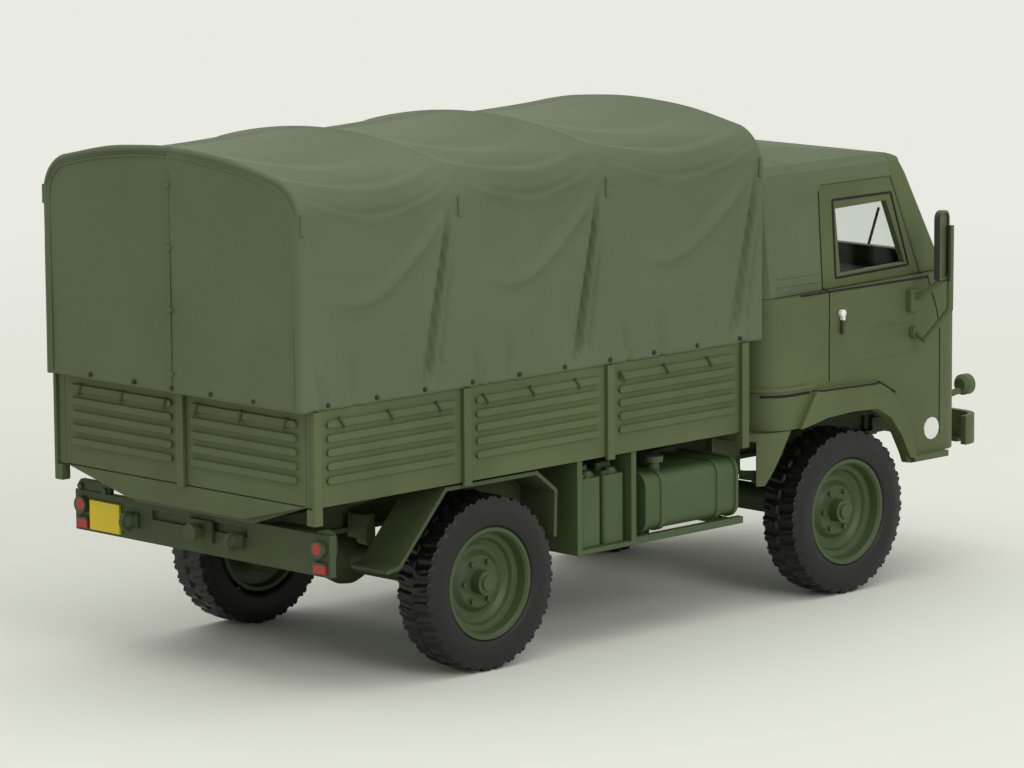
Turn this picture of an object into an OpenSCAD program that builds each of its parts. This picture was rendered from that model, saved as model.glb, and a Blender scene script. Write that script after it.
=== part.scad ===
// Scale model of a light four-wheel-drive cargo truck, 1:43.
// A soft-topped forward cab, a drop-side bed under a moulded tarp, and two solid steel axles.
// Millimetres. +X is the front of the truck, +Y its left side, +Z up, the ground is z = 0.
// Lengths along the truck are measured forward from the rear axle, and on_truck() then puts
// the middle of the truck over the origin.

/* [Wheels] */
// Distance between the two axles
wheelbase = 67.4; // [60:0.1:76]
// Radius of a tyre over its tread blocks
tyre_r = 11.2; // [10.4:0.1:11.8]
// Width of a tyre
tyre_w = 6; // [5:0.1:6.8]
// Outer face of a tyre, from the truck's middle
tyre_out_y = 24.4; // [24:0.1:25]
// Depth of the tread grooves
tread_depth = 0.45; // [0.2:0.05:0.8]
// Blocks around one row of the tread
tread_blocks = 26; // [16:1:36]
// Radius of the rim's rolled lip
rim_lip_r = 7.2; // [6.8:0.1:7.8]
// Radius on which the tyre sits
rim_seat_r = 6.8; // [6.3:0.1:7]
// Radius of the steel axle pins
axle_pin_r = 1; // [0.7:0.05:1.3]
// Radial clearance of a pin in its axle housing
axle_gap = 0.06; // [0.02:0.01:0.1]

/* [Chassis] */
// Outer faces of the two frame rails, from the middle
rail_out_y = 9.6; // [8:0.1:11]
// Height of the frame rails
rail_h = 3.6; // [2.6:0.1:4.6]
// Underside of the frame rails
rail_z = 17.4; // [16.6:0.1:18.4]
// Flange width of the frame rails
rail_flange = 1.8; // [1.2:0.1:2.6]
// Distance between the two base screw holes
base_screw_span = 50; // [44:1:54]
// Radius of the base screw holes
base_screw_r = 1.2; // [0.8:0.05:1.5]
// Depth of the base screw holes
base_screw_depth = 7; // [4:0.5:8]

/* [Cargo bed] */
// Tail end of the bed, from the rear axle
bed_tail_x = -29.7; // [-31:0.1:-27]
// Length of the bed
bed_len = 76.7; // [70:0.1:80]
// Half the width of the bed over its panels
bed_half_w = 24; // [23.5:0.05:24.2]
// Underside of the side panels
bed_z = 24.7; // [24:0.1:25.6]
// Thickness of the panels
panel_t = 1.3; // [0.8:0.1:1.8]
// Height of the panels that shows below the tarp
panel_show_h = 11.9; // [10:0.1:14]
// Pressed ribs on one panel
panel_ribs = 5; // [3:1:6]
// Width of the upright posts
post_w = 1.3; // [0.9:0.1:1.8]
// How far the posts stand out of the panels
post_proud = 0.55; // [0.3:0.05:0.8]

/* [Tarp] */
// How far the tarp stands out behind the bed
tarp_tail_over = 2; // [1:0.1:3]
// How far the tarp stands out in front of the bed
tarp_nose_over = 3.7; // [2.5:0.1:3.9]
// Half the width of the tarp
tarp_half_w = 24.25; // [24.1:0.05:25]
// Thickness of the tarp moulding
tarp_t = 0.9; // [0.6:0.05:1.2]
// Height at which the sides start to round in
eave_z = 59.5; // [56:0.1:62]
// Radius of the shoulders
shoulder_r = 5.6; // [4:0.1:8]
// Rise of the roof from the shoulders to the middle
roof_rise = 2.3; // [1:0.1:4]
// Sag of the roof between two hoops
roof_sag = 1.1; // [0:0.1:1.6]
// Depth of the folds in the sides
fold_depth = 0.75; // [0:0.05:1]

/* [Cab] */
// Back of the cab, from the rear axle
cab_back_x = 51.5; // [51:0.1:52.5]
// Front face of the cab, from the rear axle
cab_front_x = 91.5; // [89:0.1:93]
// Half the width of the cab below the belt line
cab_half_w = 24; // [23.5:0.1:24.4]
// Height of the belt line
belt_z = 41.4; // [40:0.1:43]
// Floor of the cab, its underside
cab_floor_z = 24.9; // [24.2:0.1:26]
// Bottom edge of the cab ahead of the wheels
cab_skirt_z = 17.2; // [16.4:0.1:19]
// Half the width of the cab at the belt, above the step
cab_top_half_w = 22.9; // [22:0.1:23.4]
// Lean of the upper sides towards the middle
tumblehome = 0.9; // [0:0.1:1.4]
// Height of the soft top at its back
cab_roof_z = 60.1; // [58:0.1:62]
// Height of the windscreen header
header_z = 58.3; // [57:0.1:59.4]
// Crown of the soft top in the middle
cab_crown = 1.2; // [0:0.1:2]
// Thickness of the cab's walls
cab_t = 1.1; // [0.8:0.05:1.5]
// Thickness of the glazing
glass_t = 0.5; // [0.3:0.05:0.8]
// Width of the wheel arch flanges
arch_w = 4; // [3:0.1:4.6]
// How far the wheel arch flanges stand out
arch_proud = 0.8; // [0.4:0.1:1.2]

/* [Front] */
// Half the width of the front bumper
bumper_half_w = 22; // [19:0.1:23.5]
// Bumper's front face, ahead of the cab
bumper_reach = 7.2; // [5:0.1:9]
// Height of the bumper plate
bumper_h = 4; // [3:0.1:5]
// Underside of the bumper
bumper_z = 16.7; // [16:0.1:18]
// Radius of the headlamps
headlamp_r = 2.15; // [1.6:0.05:2.6]
// Distance of the mirrors' posts from the cab side
mirror_reach = 5.2; // [3.5:0.1:6.4]
// Height of a mirror plate
mirror_h = 9.4; // [7:0.1:11]

/* [Side gear] */
// Length of a fuel tank
tank_len = 17.6; // [14:0.1:18]
// Height of a fuel tank
tank_h = 7.6; // [6:0.1:8.4]
// Underside of a fuel tank
tank_z = 13.6; // [12.8:0.1:14.6]
// Width of one can
can_w = 3.9; // [3.2:0.05:4]
// Height of one can with its handles
can_h = 10.4; // [8:0.1:10.6]
// Depth of one can, into the truck
can_d = 8; // [6:0.1:9]

/* [Tail] */
// Half the width of the rear bar
tail_bar_half_w = 24; // [22:0.1:24]
// Height of the rear bar
tail_bar_h = 5.2; // [4:0.1:5.6]
// Underside of the rear bar
tail_bar_z = 15.8; // [15:0.1:16.6]

/* [Hidden] */
$fn = 64;

// Colours of the pieces
green = [0.30, 0.36, 0.25];
tarp_green = [0.28, 0.36, 0.27];
rubber_black = [0.10, 0.10, 0.11];
trim_black = [0.08, 0.08, 0.08];
steel = [0.66, 0.67, 0.68];
glass_clear = [0.80, 0.86, 0.88, 0.4];
lamp_red = [0.70, 0.10, 0.08];
plate_yellow = [0.90, 0.78, 0.10];

// Fits: faces that touch keep seat_gap, pressed parts keep press_gap, nothing shares a space
seat_gap = 0.05;
press_gap = 0.02;
eps = 0.01;

// Stations along the truck
bed_nose_x = bed_tail_x + bed_len;
tarp_tail_x = bed_tail_x - tarp_tail_over;
tarp_nose_x = bed_nose_x + tarp_nose_over;
bumper_front_x = cab_front_x + bumper_reach;
mid_x = (bumper_front_x + tarp_tail_x) / 2;
hem_z = bed_z + panel_show_h;
rail_top_z = rail_z + rail_h;
axle_z = tyre_r;
tyre_in_y = tyre_out_y - tyre_w;
// Front edge of the rear mudguards, both ends of a can rack, and the rear end of a fuel tank
guard_front_x = 12.3;
rack_x0 = 15.9;
rack_x1 = 26.7;
tank_x0 = 28.4;
post_xs = [bed_tail_x + 0.3, bed_tail_x + bed_len / 3, bed_tail_x + 2 * bed_len / 3, bed_nose_x - 0.3];

// Puts the truck's middle over the origin
module on_truck() {
  translate([-mid_x, 0, 0])
    children();
}

// A flat outline in (x, z), made solid from y0 to y1
module across(y0, y1) {
  translate([0, y1, 0])
    rotate([90, 0, 0])
      linear_extrude(y1 - y0)
        children();
}

// A flat outline in (y, z), made solid from x0 to x1
module along(x0, x1) {
  translate([x0, 0, 0])
    rotate([90, 0, 90])
      linear_extrude(x1 - x0)
        children();
}

// A piece on the right side and its mirror image on the left
module both_sides() {
  children();
  mirror([0, 1, 0])
    children();
}

// A box between two corners
module block(a, b) {
  translate(a)
    cube([b[0] - a[0], b[1] - a[1], b[2] - a[2]]);
}

// A round bar between two points on one upright, lengthwise or crosswise line
module rod(a, b, r) {
  d = [b[0] - a[0], b[1] - a[1], b[2] - a[2]];
  len = norm(d);
  lean = acos(d[2] / len);
  turn = atan2(d[1], d[0]);
  translate(a)
    rotate([0, lean, turn])
      cylinder(r = r, h = len, $fn = 32);
}

// A rectangle with round corners, centred
module round_rect(w, h, r) {
  square([w - 2 * r, h], center = true);
  square([w, h - 2 * r], center = true);
  for (sx = [-1, 1], sy = [-1, 1])
    translate([sx * (w / 2 - r), sy * (h / 2 - r)])
      circle(r, $fn = 32);
}

// Points of an arc from angle a0 to a1
function arc(c, r, a0, a1, n) = [
  for (i = [0:n]) let (a = a0 + (a1 - a0) * i / n) [c[0] + r * cos(a), c[1] + r * sin(a)]
];

// The outline of a bent sheet of thickness t along a path, to the left of the path's direction
function dir(a, b) = (b - a) / norm(b - a);
function left_of(d) = [-d[1], d[0]];
function bend_at(p, i) =
  i == 0 ? left_of(dir(p[0], p[1])) :
  i == len(p) - 1 ? left_of(dir(p[i - 1], p[i])) :
  let (a = left_of(dir(p[i - 1], p[i])), b = left_of(dir(p[i], p[i + 1])), m = a + b)
  m * 2 / (m * m);
function sheet(p, t) = concat(p, [for (i = [len(p) - 1:-1:0]) p[i] + t * bend_at(p, i)]);

// Wheels

// Half of a tyre's section as [radius, distance in from the sidewall], bead to tread
tyre_tread_r = tyre_r - tread_depth;
function tyre_half(side) = let (y0 = side < 0 ? 0 : tyre_w, s = side < 0 ? 1 : -1) [
  [rim_seat_r + press_gap, y0 + s * 0.75],
  [rim_lip_r + 0.2, y0 + s * 0.7],
  [rim_lip_r + 0.45, y0 + s * 0.35],
  [rim_lip_r + 1.2, y0 + s * 0.06],
  [tyre_tread_r - 1.3, y0],
  [tyre_tread_r - 0.6, y0 + s * 0.15],
  [tyre_tread_r - 0.15, y0 + s * 0.45],
  [tyre_tread_r, y0 + s * 0.9]
];
function reversed(p) = [for (i = [len(p) - 1:-1:0]) p[i]];

// One row of tread blocks between two distances in from the outer sidewall
module tread_row(y0, y1, turned, block_share) {
  pitch = 360 / tread_blocks;
  groove_w = pitch * (1 - block_share);
  translate([0, 0, y0])
    rotate([0, 0, turned * pitch])
      linear_extrude(y1 - y0)
        difference() {
          circle(tyre_r, $fn = 128);
          circle(tyre_tread_r - 0.3, $fn = 128);
          for (i = [0:tread_blocks - 1])
            rotate(i * pitch + pitch / 2)
              polygon([
                [0, 0],
                [2 * tyre_r * cos(groove_w / 2), -2 * tyre_r * sin(groove_w / 2)],
                [2 * tyre_r * cos(groove_w / 2), 2 * tyre_r * sin(groove_w / 2)]
              ]);
        }
}

// A right-hand tyre at the origin, its axis upright and its outer face at height 0
module tyre_shape() {
  rotate_extrude($fn = 96)
    polygon(concat(tyre_half(-1), reversed(tyre_half(1))));
  tread_row(0.5, 2.05, 0.5, 0.66);
  tread_row(2.25, tyre_w - 2.25, 0, 0.7);
  tread_row(tyre_w - 2.05, tyre_w - 0.5, 0.5, 0.66);
}

// The rim as [radius, distance in from the lip's face]: lip, stepped barrel, dished disc, hub
lip_in = 0.3;
rim_w = tyre_w - 2 * lip_in;
module rim_shape() {
  difference() {
    union() {
      rotate_extrude($fn = 96)
        polygon([
          [0, 2.1],
          [2.0, 2.1], [3.3, 2.1], [4.0, 2.75], [4.6, 2.75],
          [5.3, 2.3], [5.6, 1.75], [6.25, 1.6], [6.45, 0.35], [6.7, 0],
          [rim_lip_r - 0.1, 0], [rim_lip_r, 0.12], [rim_lip_r, 0.35],
          [rim_seat_r, 0.42],
          [rim_seat_r, rim_w], [rim_seat_r - 0.5, rim_w], [rim_seat_r - 0.8, rim_w - 1],
          [5.0, 4.2], [2.2, 3.8], [2.2, rim_w], [0, rim_w]
        ]);
      // Hub with its bolted cap
      translate([0, 0, 0.55])
        cylinder(r = 1.55, h = 1.7);
      translate([0, 0, 0.25])
        cylinder(r = 0.95, h = 0.5);
      // Wheel nuts
      for (i = [0:5])
        rotate(i * 60)
          translate([2.75, 0, 1.65])
            cylinder(r = 0.33, h = 0.6, $fn = 16);
    }
    // Blind hole for the axle pin
    translate([0, 0, rim_w - 3.4])
      cylinder(r = axle_pin_r + press_gap, h = 4);
  }
}

// A wheel's piece set at an axle, side -1 right and 1 left, its outer face at inset from the tyre's
module at_wheel(axle_x, side, inset) {
  on_truck()
    translate([axle_x, side * (tyre_out_y - inset), axle_z])
      rotate([side < 0 ? -90 : 90, 0, 0])
        children();
}
module tyre_front_right() { color(rubber_black) at_wheel(wheelbase, -1, 0) tyre_shape(); }
module tyre_front_left() { color(rubber_black) at_wheel(wheelbase, 1, 0) tyre_shape(); }
module tyre_rear_right() { color(rubber_black) at_wheel(0, -1, 0) tyre_shape(); }
module tyre_rear_left() { color(rubber_black) at_wheel(0, 1, 0) tyre_shape(); }
module rim_front_right() { color(green) at_wheel(wheelbase, -1, lip_in) rim_shape(); }
module rim_front_left() { color(green) at_wheel(wheelbase, 1, lip_in) rim_shape(); }
module rim_rear_right() { color(green) at_wheel(0, -1, lip_in) rim_shape(); }
module rim_rear_left() { color(green) at_wheel(0, 1, lip_in) rim_shape(); }

// The steel pin ends inside the rims' blind holes
pin_half = tyre_out_y - lip_in - rim_w + 3.4 - seat_gap;
module axle_pin(axle_x) {
  on_truck()
    color(steel)
      translate([axle_x, pin_half, axle_z])
        rotate([90, 0, 0])
          cylinder(r = axle_pin_r, h = 2 * pin_half);
}
module front_axle_pin() { axle_pin(wheelbase); }
module rear_axle_pin() { axle_pin(0); }

// Axle housings: a bored tube, revolved with its differential bulb and its brake backing plates
housing_half = tyre_out_y - lip_in - rim_w - 0.35;
housing_r = 1.9;
bulb_r = 3.7;
pinion_r = 1.6;
backing_r = 4.2;
backing_t = 1.4;
module axle_housing(axle_x, bulb_y) {
  bulb_reach = sqrt(pow(bulb_r, 2) - pow(housing_r, 2));
  on_truck()
    color(green)
      translate([axle_x, 0, axle_z]) {
        // The outline as [radius, distance to the left], turned so that its seam lies clear of the nose
        rotate([-90, 0, 0])
          rotate([0, 0, 130])
            rotate_extrude()
              polygon(concat(
                [[axle_pin_r + axle_gap, -housing_half], [backing_r, -housing_half]],
                [[backing_r, -housing_half + backing_t], [housing_r, -housing_half + backing_t]],
                arc([0, bulb_y], bulb_r, -asin(bulb_reach / bulb_r), asin(bulb_reach / bulb_r), 6),
                [[housing_r, housing_half - backing_t], [backing_r, housing_half - backing_t]],
                [[backing_r, housing_half], [axle_pin_r + axle_gap, housing_half]]
              ));
        // Pinion nose, forward
        translate([housing_r - 0.2, bulb_y, 0])
          rotate([0, 90, 0])
            rotate([0, 0, 45])
              cylinder(r = pinion_r, h = 5.2 - housing_r);
        // Pads that the springs are clamped to
        both_sides()
          block([-1.3, -spring_y - 1, housing_r - 0.7], [1.3, -spring_y + 1, 2.6]);
      }
}
module front_axle_housing() { axle_housing(wheelbase, 3); }
module rear_axle_housing() { axle_housing(0, 3); }

// Leaf springs: three leaves each, on arcs that rise towards their ends
spring_y = 12.2;
spring_w = 1.7;
leaf_t = 0.6;
leaf_arc_r = 42;
leaf_half_angles = [14, 10.5, 7];
spring_pad_z = axle_z + 2.6;
module leaf(i) {
  r = leaf_arc_r + i * (leaf_t + 0.001);
  a = leaf_half_angles[i];
  polygon(concat(arc([0, 0], r, -90 - a, -90 + a, 10), arc([0, 0], r + leaf_t, -90 + a, -90 - a, 10)));
}
module leaf_spring(axle_x) {
  centre_z = spring_pad_z + seat_gap + leaf_arc_r + 3 * leaf_t;
  translate([axle_x, 0, centre_z])
    across(-spring_y - spring_w / 2, -spring_y + spring_w / 2)
      for (i = [0:2])
        leaf(i);
  // Centre clamp
  translate([axle_x, 0, 0])
    block([-1, -spring_y - 1.15, spring_pad_z + seat_gap], [1, -spring_y + 1.15, spring_pad_z + 2.4]);
  // Hangers from the frame rail down to the spring's ends
  for (s = [-1, 1]) {
    eye_x = axle_x + s * leaf_arc_r * sin(leaf_half_angles[0]);
    eye_z = centre_z - leaf_arc_r * cos(leaf_half_angles[0]);
    translate([eye_x, -spring_y + spring_w / 2, eye_z])
      rotate([90, 0, 0])
        cylinder(r = 0.85, h = spring_w);
    block([eye_x - 0.8, -spring_y - spring_w / 2, eye_z], [eye_x + 0.8, -rail_out_y - seat_gap, rail_top_z - 1]);
  }
}
module leaf_springs() {
  on_truck()
    color(green)
      both_sides() {
        leaf_spring(wheelbase);
        leaf_spring(0);
      }
}

// Chassis: two channel rails with cross members and two bosses for the base screws
frame_tail_x = bed_tail_x + 5;
frame_nose_x = cab_front_x - 1.6;
screw_xs = [(wheelbase - base_screw_span) / 2, (wheelbase + base_screw_span) / 2];
cross_xs = [frame_tail_x + 1, screw_xs[0], 30, screw_xs[1], frame_nose_x - 1];
// Top of the bumper's brackets, above the bumper's foot
bracket_top = 3.1;
module rail_section() {
  difference() {
    translate([-rail_out_y, rail_z])
      square([rail_flange, rail_h]);
    translate([-rail_out_y - eps, rail_z + 0.6])
      square([rail_flange - 0.7, rail_h - 1.2]);
  }
}
module chassis_frame() {
  on_truck()
    color(green)
      difference() {
        union() {
          both_sides()
            along(frame_tail_x, frame_nose_x)
              rail_section();
          for (x = cross_xs)
            block([x - 1, -rail_out_y + 0.6, rail_z + 0.4], [x + 1, rail_out_y - 0.6, rail_top_z - 0.4]);
          for (x = screw_xs)
            translate([x, 0, rail_z - 0.8])
              cylinder(r = 2.5, h = base_screw_depth + 1);
          // Hangers of the rear bar
          both_sides()
            block([tail_bar_back_x + seat_gap, -rail_out_y, rail_z + 0.4],
                  [frame_tail_x + 0.5, -rail_out_y + 1.6, rail_top_z - 0.4]);
          // Brackets that carry the bumper
          both_sides()
            block([frame_nose_x - 1, -rail_out_y, bumper_z + 0.9],
                  [bumper_back_x - seat_gap, -rail_out_y + 1.6, bumper_z + bracket_top]);
        }
        for (x = screw_xs)
          translate([x, 0, rail_z - 1])
            cylinder(r = base_screw_r, h = base_screw_depth);
      }
}

// Sump, gearbox, transfer box and the two propeller shafts, moulded as one underside piece
shaft_z = axle_z + 3.4;
module drivetrain() {
  on_truck()
    color(green) {
      block([76, -4, rail_z - 2.2], [frame_nose_x - 2.3, 4, rail_top_z + 1.5]);
      block([70, -3, rail_z + 0.8], [77, 3, rail_top_z]);
      translate([73, 0, rail_z + 1])
        rotate([0, 90, 0])
          cylinder(r = 2.6, h = 5, center = true);
      block([44, -4.5, rail_z - 2.6], [54, 4.5, rail_top_z]);
      rod([5.3, 3, axle_z], [44.2, 3, rail_z - 1.2], 0.75);
      rod([53.8, 3, rail_z - 0.6], [wheelbase - 3.9, 3, axle_z + 1.2], 0.75);
    }
}

// Exhaust: a silencer across the frame behind the rear axle, and its pipe forward
silencer_x = -22.4;
module exhaust() {
  on_truck()
    color(green) {
      translate([silencer_x, 0, 0])
        across(-17.6, -rail_out_y - seat_gap)
          translate([0, rail_z + 0.6])
            round_rect(4.8, 4.6, 1.8);
    }
}

// Cab

// Side outline of the cab below the belt, drawn in by inset; its nose is rounded to the cowl
cowl_x = cab_front_x - 3.1;
belt_rise = 0.6;
function lower_side(i, above = 0) = [
  [cab_back_x + i, cab_skirt_z - 1],
  [cab_front_x - i, cab_skirt_z - 1],
  [cab_front_x - i, 31],
  [cab_front_x - 0.35 - i, 34.4],
  [cab_front_x - 1.1 - i, 37.5],
  [cab_front_x - 2.1 - i, 40],
  [cowl_x - i * 0.8, belt_z + belt_rise + above],
  [cab_back_x + i, belt_z + above]
];
rear_corner_r = 5;
front_corner_r = 4;
module cab_plan(i) {
  hw = cab_half_w - i;
  x0 = cab_back_x + i;
  x1 = cab_front_x - i;
  rr = rear_corner_r - i;
  fr = front_corner_r - i;
  translate([x0 + rr, -hw])
    square([x1 - fr - x0 - rr, 2 * hw]);
  translate([x0, -hw + rr])
    square([2 * rr, 2 * (hw - rr)]);
  translate([x1 - 2 * fr, -hw + fr])
    square([2 * fr, 2 * (hw - fr)]);
  for (s = [-1, 1]) {
    translate([x0 + rr, s * (hw - rr)])
      circle(rr);
    translate([x1 - fr, s * (hw - fr)])
      circle(fr);
  }
}
module cab_lower_solid(i, above = 0) {
  intersection() {
    across(-cab_half_w - 1, cab_half_w + 1)
      polygon(lower_side(i, above));
    translate([0, 0, cab_skirt_z - 2])
      linear_extrude(belt_z - cab_skirt_z + 4)
        cab_plan(i);
  }
}

// The wheel opening in the cab side, from the skirt forward over the tyre
arch_top_z = cab_floor_z;
arch_path = [
  [wheelbase - 16, cab_floor_z - 1.2],
  [wheelbase - 9.6, cab_floor_z - 1.1],
  [wheelbase - 4.6, cab_floor_z - 0.2],
  [wheelbase + 0.4, cab_floor_z],
  [wheelbase + 5.3, cab_floor_z - 0.2],
  [wheelbase + 8, cab_floor_z - 1.7],
  [wheelbase + 10.2, cab_floor_z - 4.4],
  [wheelbase + 11.8, cab_floor_z - 7.2],
  [wheelbase + 12.9, cab_skirt_z - 2]
];
arch_flange_path = [
  [wheelbase - 10.1, cab_floor_z - 1.1],
  [wheelbase - 7, cab_floor_z - 1.1 + arch_w * 1.15],
  [wheelbase - 5, cab_floor_z + arch_w * 0.95],
  [wheelbase + 5.4, cab_floor_z + arch_w * 0.86],
  [wheelbase + 8, cab_floor_z + arch_w * 0.5],
  [wheelbase + 12.2, cab_floor_z - 3],
  [wheelbase + 13.3, cab_floor_z - 7.2],
  [wheelbase + 13.5, cab_skirt_z - 0.4]
];
module arch_opening() {
  polygon(concat([[cab_back_x - 3, cab_skirt_z - 2]], [[cab_back_x - 3, cab_floor_z - 1.2]], arch_path));
}
module cab_body() {
  on_truck()
    color(green)
      difference() {
        union() {
          cab_lower_solid(0);
          // Wheel arch flanges
          both_sides()
            across(-cab_half_w - arch_proud, -cab_half_w + 1)
              polygon(arch_flange_path);
          // Step plates under the front corners
          both_sides()
            block([wheelbase + 13, -cab_half_w - arch_proud, cab_skirt_z - 0.8],
                  [wheelbase + 20, -cab_half_w + 2.5, cab_skirt_z]);
          // Bead along the rear quarter
          intersection() {
            translate([0, 0, 29])
              linear_extrude(0.5)
                cab_plan(-0.3);
            block([cab_back_x - 1, -30, 28], [wheelbase - 7.5, 30, 30]);
          }
        }
        // Cab space, open at the belt
        intersection() {
          cab_lower_solid(cab_t, 2);
          block([0, -30, cab_floor_z + 1.2], [120, 30, belt_z + 5]);
        }
        // Hollow below the floor
        intersection() {
          cab_lower_solid(cab_t);
          block([0, -30, 0], [120, 30, cab_floor_z]);
        }
        // Everything below the skirt, and the wheel openings
        block([cab_back_x - 2, -30, 0], [wheelbase + 13, 30, cab_skirt_z - 0.9]);
        block([cab_back_x - 2, -cab_half_w + 2.5, 0],
              [cab_front_x + 2, cab_half_w - 2.5, bumper_z + bracket_top + 0.2]);
        block([wheelbase + 20, -30, 0], [cab_front_x + 2, 30, cab_skirt_z]);
        across(-30, 30)
          arch_opening();
        // Opening of the grille
        block([cab_front_x - 3, -grille_half_w, grille_z], [cab_front_x + 2, grille_half_w, grille_z + grille_h]);
      }
}

// Rear skirts between the cab's corner and the fuel tank
skirt_top_z = cab_floor_z - 1.2 - seat_gap;
skirt_bottom_z = skirt_top_z - 7;
module cab_skirts() {
  on_truck()
    color(green)
      both_sides()
        difference() {
          intersection() {
            across(-cab_half_w, -tyre_in_y + 3)
              polygon([
                [wheelbase - 19.4, skirt_bottom_z],
                [wheelbase - 15.6, skirt_bottom_z],
                [wheelbase - 11, skirt_top_z],
                [wheelbase - 18.2, skirt_top_z]
              ]);
            linear_extrude(60)
              union() {
                translate([cab_back_x + 2.6, -cab_half_w + 5.4])
                  circle(5.2);
                translate([cab_back_x + 2.6, -cab_half_w + 0.2])
                  square([10, 12]);
                translate([cab_back_x - 2.6, -cab_half_w + 5.4])
                  square([12, 12]);
              }
          }
          block([wheelbase - 30, -cab_half_w + 1.4, 0], [wheelbase, -tyre_in_y + 2, skirt_top_z - 1]);
        }
}

// Upper cab: outlines of the soft top and the door frames together, drawn in by inset
screen_foot_x = cowl_x - 0.15;
screen_head_x = cowl_x - 8.55;
top_foot_z = belt_z + seat_gap;
function upper_side(i) = [
  [cab_back_x + 0.3 + i, top_foot_z - 3],
  [screen_foot_x + 1.8 - i * 1.13, top_foot_z - 3],
  [screen_head_x - i * 1.13, header_z - i],
  [screen_head_x - 1.2 - i, header_z + 0.35 - i],
  [cab_back_x + 3.2, cab_roof_z + cab_crown - i],
  [cab_back_x + 1.3 + i * 0.5, cab_roof_z + 0.5 - i],
  [cab_back_x + 0.5 + i, cab_roof_z - 1.4 - i * 0.5]
];
function upper_front(i) = let (hw = cab_top_half_w - i, top = cab_top_half_w - tumblehome - i) [
  [-hw, top_foot_z - 3],
  [hw, top_foot_z - 3],
  [hw, top_foot_z],
  [top, header_z - 2.4],
  [top - 0.4, header_z - 0.7 - i],
  [top - 1.4, header_z + 0.4 - i],
  [top - 6, header_z + 2 - i],
  [0, cab_roof_z + cab_crown - i],
  [-top + 6, header_z + 2 - i],
  [-top + 1.4, header_z + 0.4 - i],
  [-top + 0.4, header_z - 0.7 - i],
  [-top, header_z - 2.4],
  [-hw, top_foot_z]
];
module cab_upper_solid(i) {
  intersection() {
    across(-cab_half_w, cab_half_w)
      polygon(upper_side(i));
    along(cab_back_x - 5, cab_front_x + 5)
      polygon(upper_front(i));
    linear_extrude(80)
      intersection() {
        cab_plan(i);
        translate([cab_back_x - 5, -cab_half_w])
          square([60, 2 * cab_half_w]);
      }
  }
}

// Stations of the door on the side of the upper cab
door_rear_x = 63.4;
door_top_z = 55.6;
door_front = [[83.6, belt_z + belt_rise], [78.2, door_top_z]];
module door_mask(m) {
  across(-30, 30)
    polygon([
      [door_rear_x + m, belt_z - 3],
      [door_front[0][0] - m + 1.2, belt_z - 3],
      [door_front[1][0] - m, door_top_z - m],
      [door_rear_x + 0.8 + m, door_top_z - m],
      [door_rear_x + m, door_top_z - 0.8 - m]
    ]);
}
module window_mask(grow) {
  polygon([
    [67.4 - grow, 43.4 - grow],
    [80.5 + grow * 1.2, 43.7 - grow],
    [77.2 + grow, 52.4 + grow],
    [66.9 - grow, 52.2 + grow]
  ]);
}
screen_base_z = belt_z + belt_rise + 2.6;
screen_top_z = header_z - 1.9;
module screen_pane(grow) {
  for (s = [-1, 1])
    polygon([
      [s * (19.8 + grow), screen_base_z - grow],
      [s * (0.6 - grow), screen_base_z - grow],
      [s * (0.6 - grow), screen_top_z + grow],
      [s * (18.6 + grow), screen_top_z + grow]
    ]);
}
// Wall of the upper cab between two insets
module upper_wall(i0, i1) {
  difference() {
    cab_upper_solid(i0);
    cab_upper_solid(i1);
    block([0, -30, 0], [120, 30, top_foot_z]);
  }
}
// Height under which the cowl, not the screen frame, closes the front
module front_zone() {
  across(-30, 30)
    polygon([
      [door_front[0][0] + 1.4, belt_z - 3],
      [100, belt_z - 3],
      [100, 70],
      [screen_head_x - 1.6, 70],
      [screen_head_x - 1.6, door_top_z + 0.2],
      [door_front[1][0] + 0.25, door_top_z + 0.2]
    ]);
}
module cowl_cut() {
  block([0, -30, 0], [120, 30, belt_z + seat_gap]);
  across(-30, 30)
    polygon([
      [cab_back_x, belt_z - 2],
      [cowl_x + 1, belt_z - 2],
      [cowl_x + 1, belt_z + belt_rise + seat_gap],
      [cowl_x, belt_z + belt_rise + seat_gap],
      [cab_back_x, belt_z + seat_gap]
    ]);
}
module cab_top() {
  on_truck()
    color(tarp_green)
      difference() {
        upper_wall(0, cab_t);
        door_mask(-seat_gap);
        front_zone();
        cowl_cut();
      }
}
module door_frames() {
  on_truck()
    color(green)
      difference() {
        intersection() {
          upper_wall(0.12, cab_t);
          door_mask(0);
        }
        front_zone();
        cowl_cut();
        across(-30, 30)
          window_mask(0);
      }
}
module windscreen_frame() {
  on_truck()
    color(green)
      difference() {
        intersection() {
          upper_wall(0, cab_t);
          translate([seat_gap, 0, 0])
            front_zone();
        }
        cowl_cut();
        along(70, 120)
          screen_pane(0);
      }
}
module cab_glazing() {
  on_truck()
    color(glass_clear) {
      intersection() {
        upper_wall(cab_t + seat_gap, cab_t + seat_gap + glass_t);
        across(-30, 30)
          window_mask(0.7);
        block([0, -30, 40], [82, 30, 60]);
      }
      intersection() {
        difference() {
          cab_upper_solid(cab_t + seat_gap);
          translate([-glass_t * 1.13, 0, 0])
            cab_upper_solid(cab_t + seat_gap);
        }
        along(70, 120)
          screen_pane(0.5);
      }
    }
}

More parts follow.
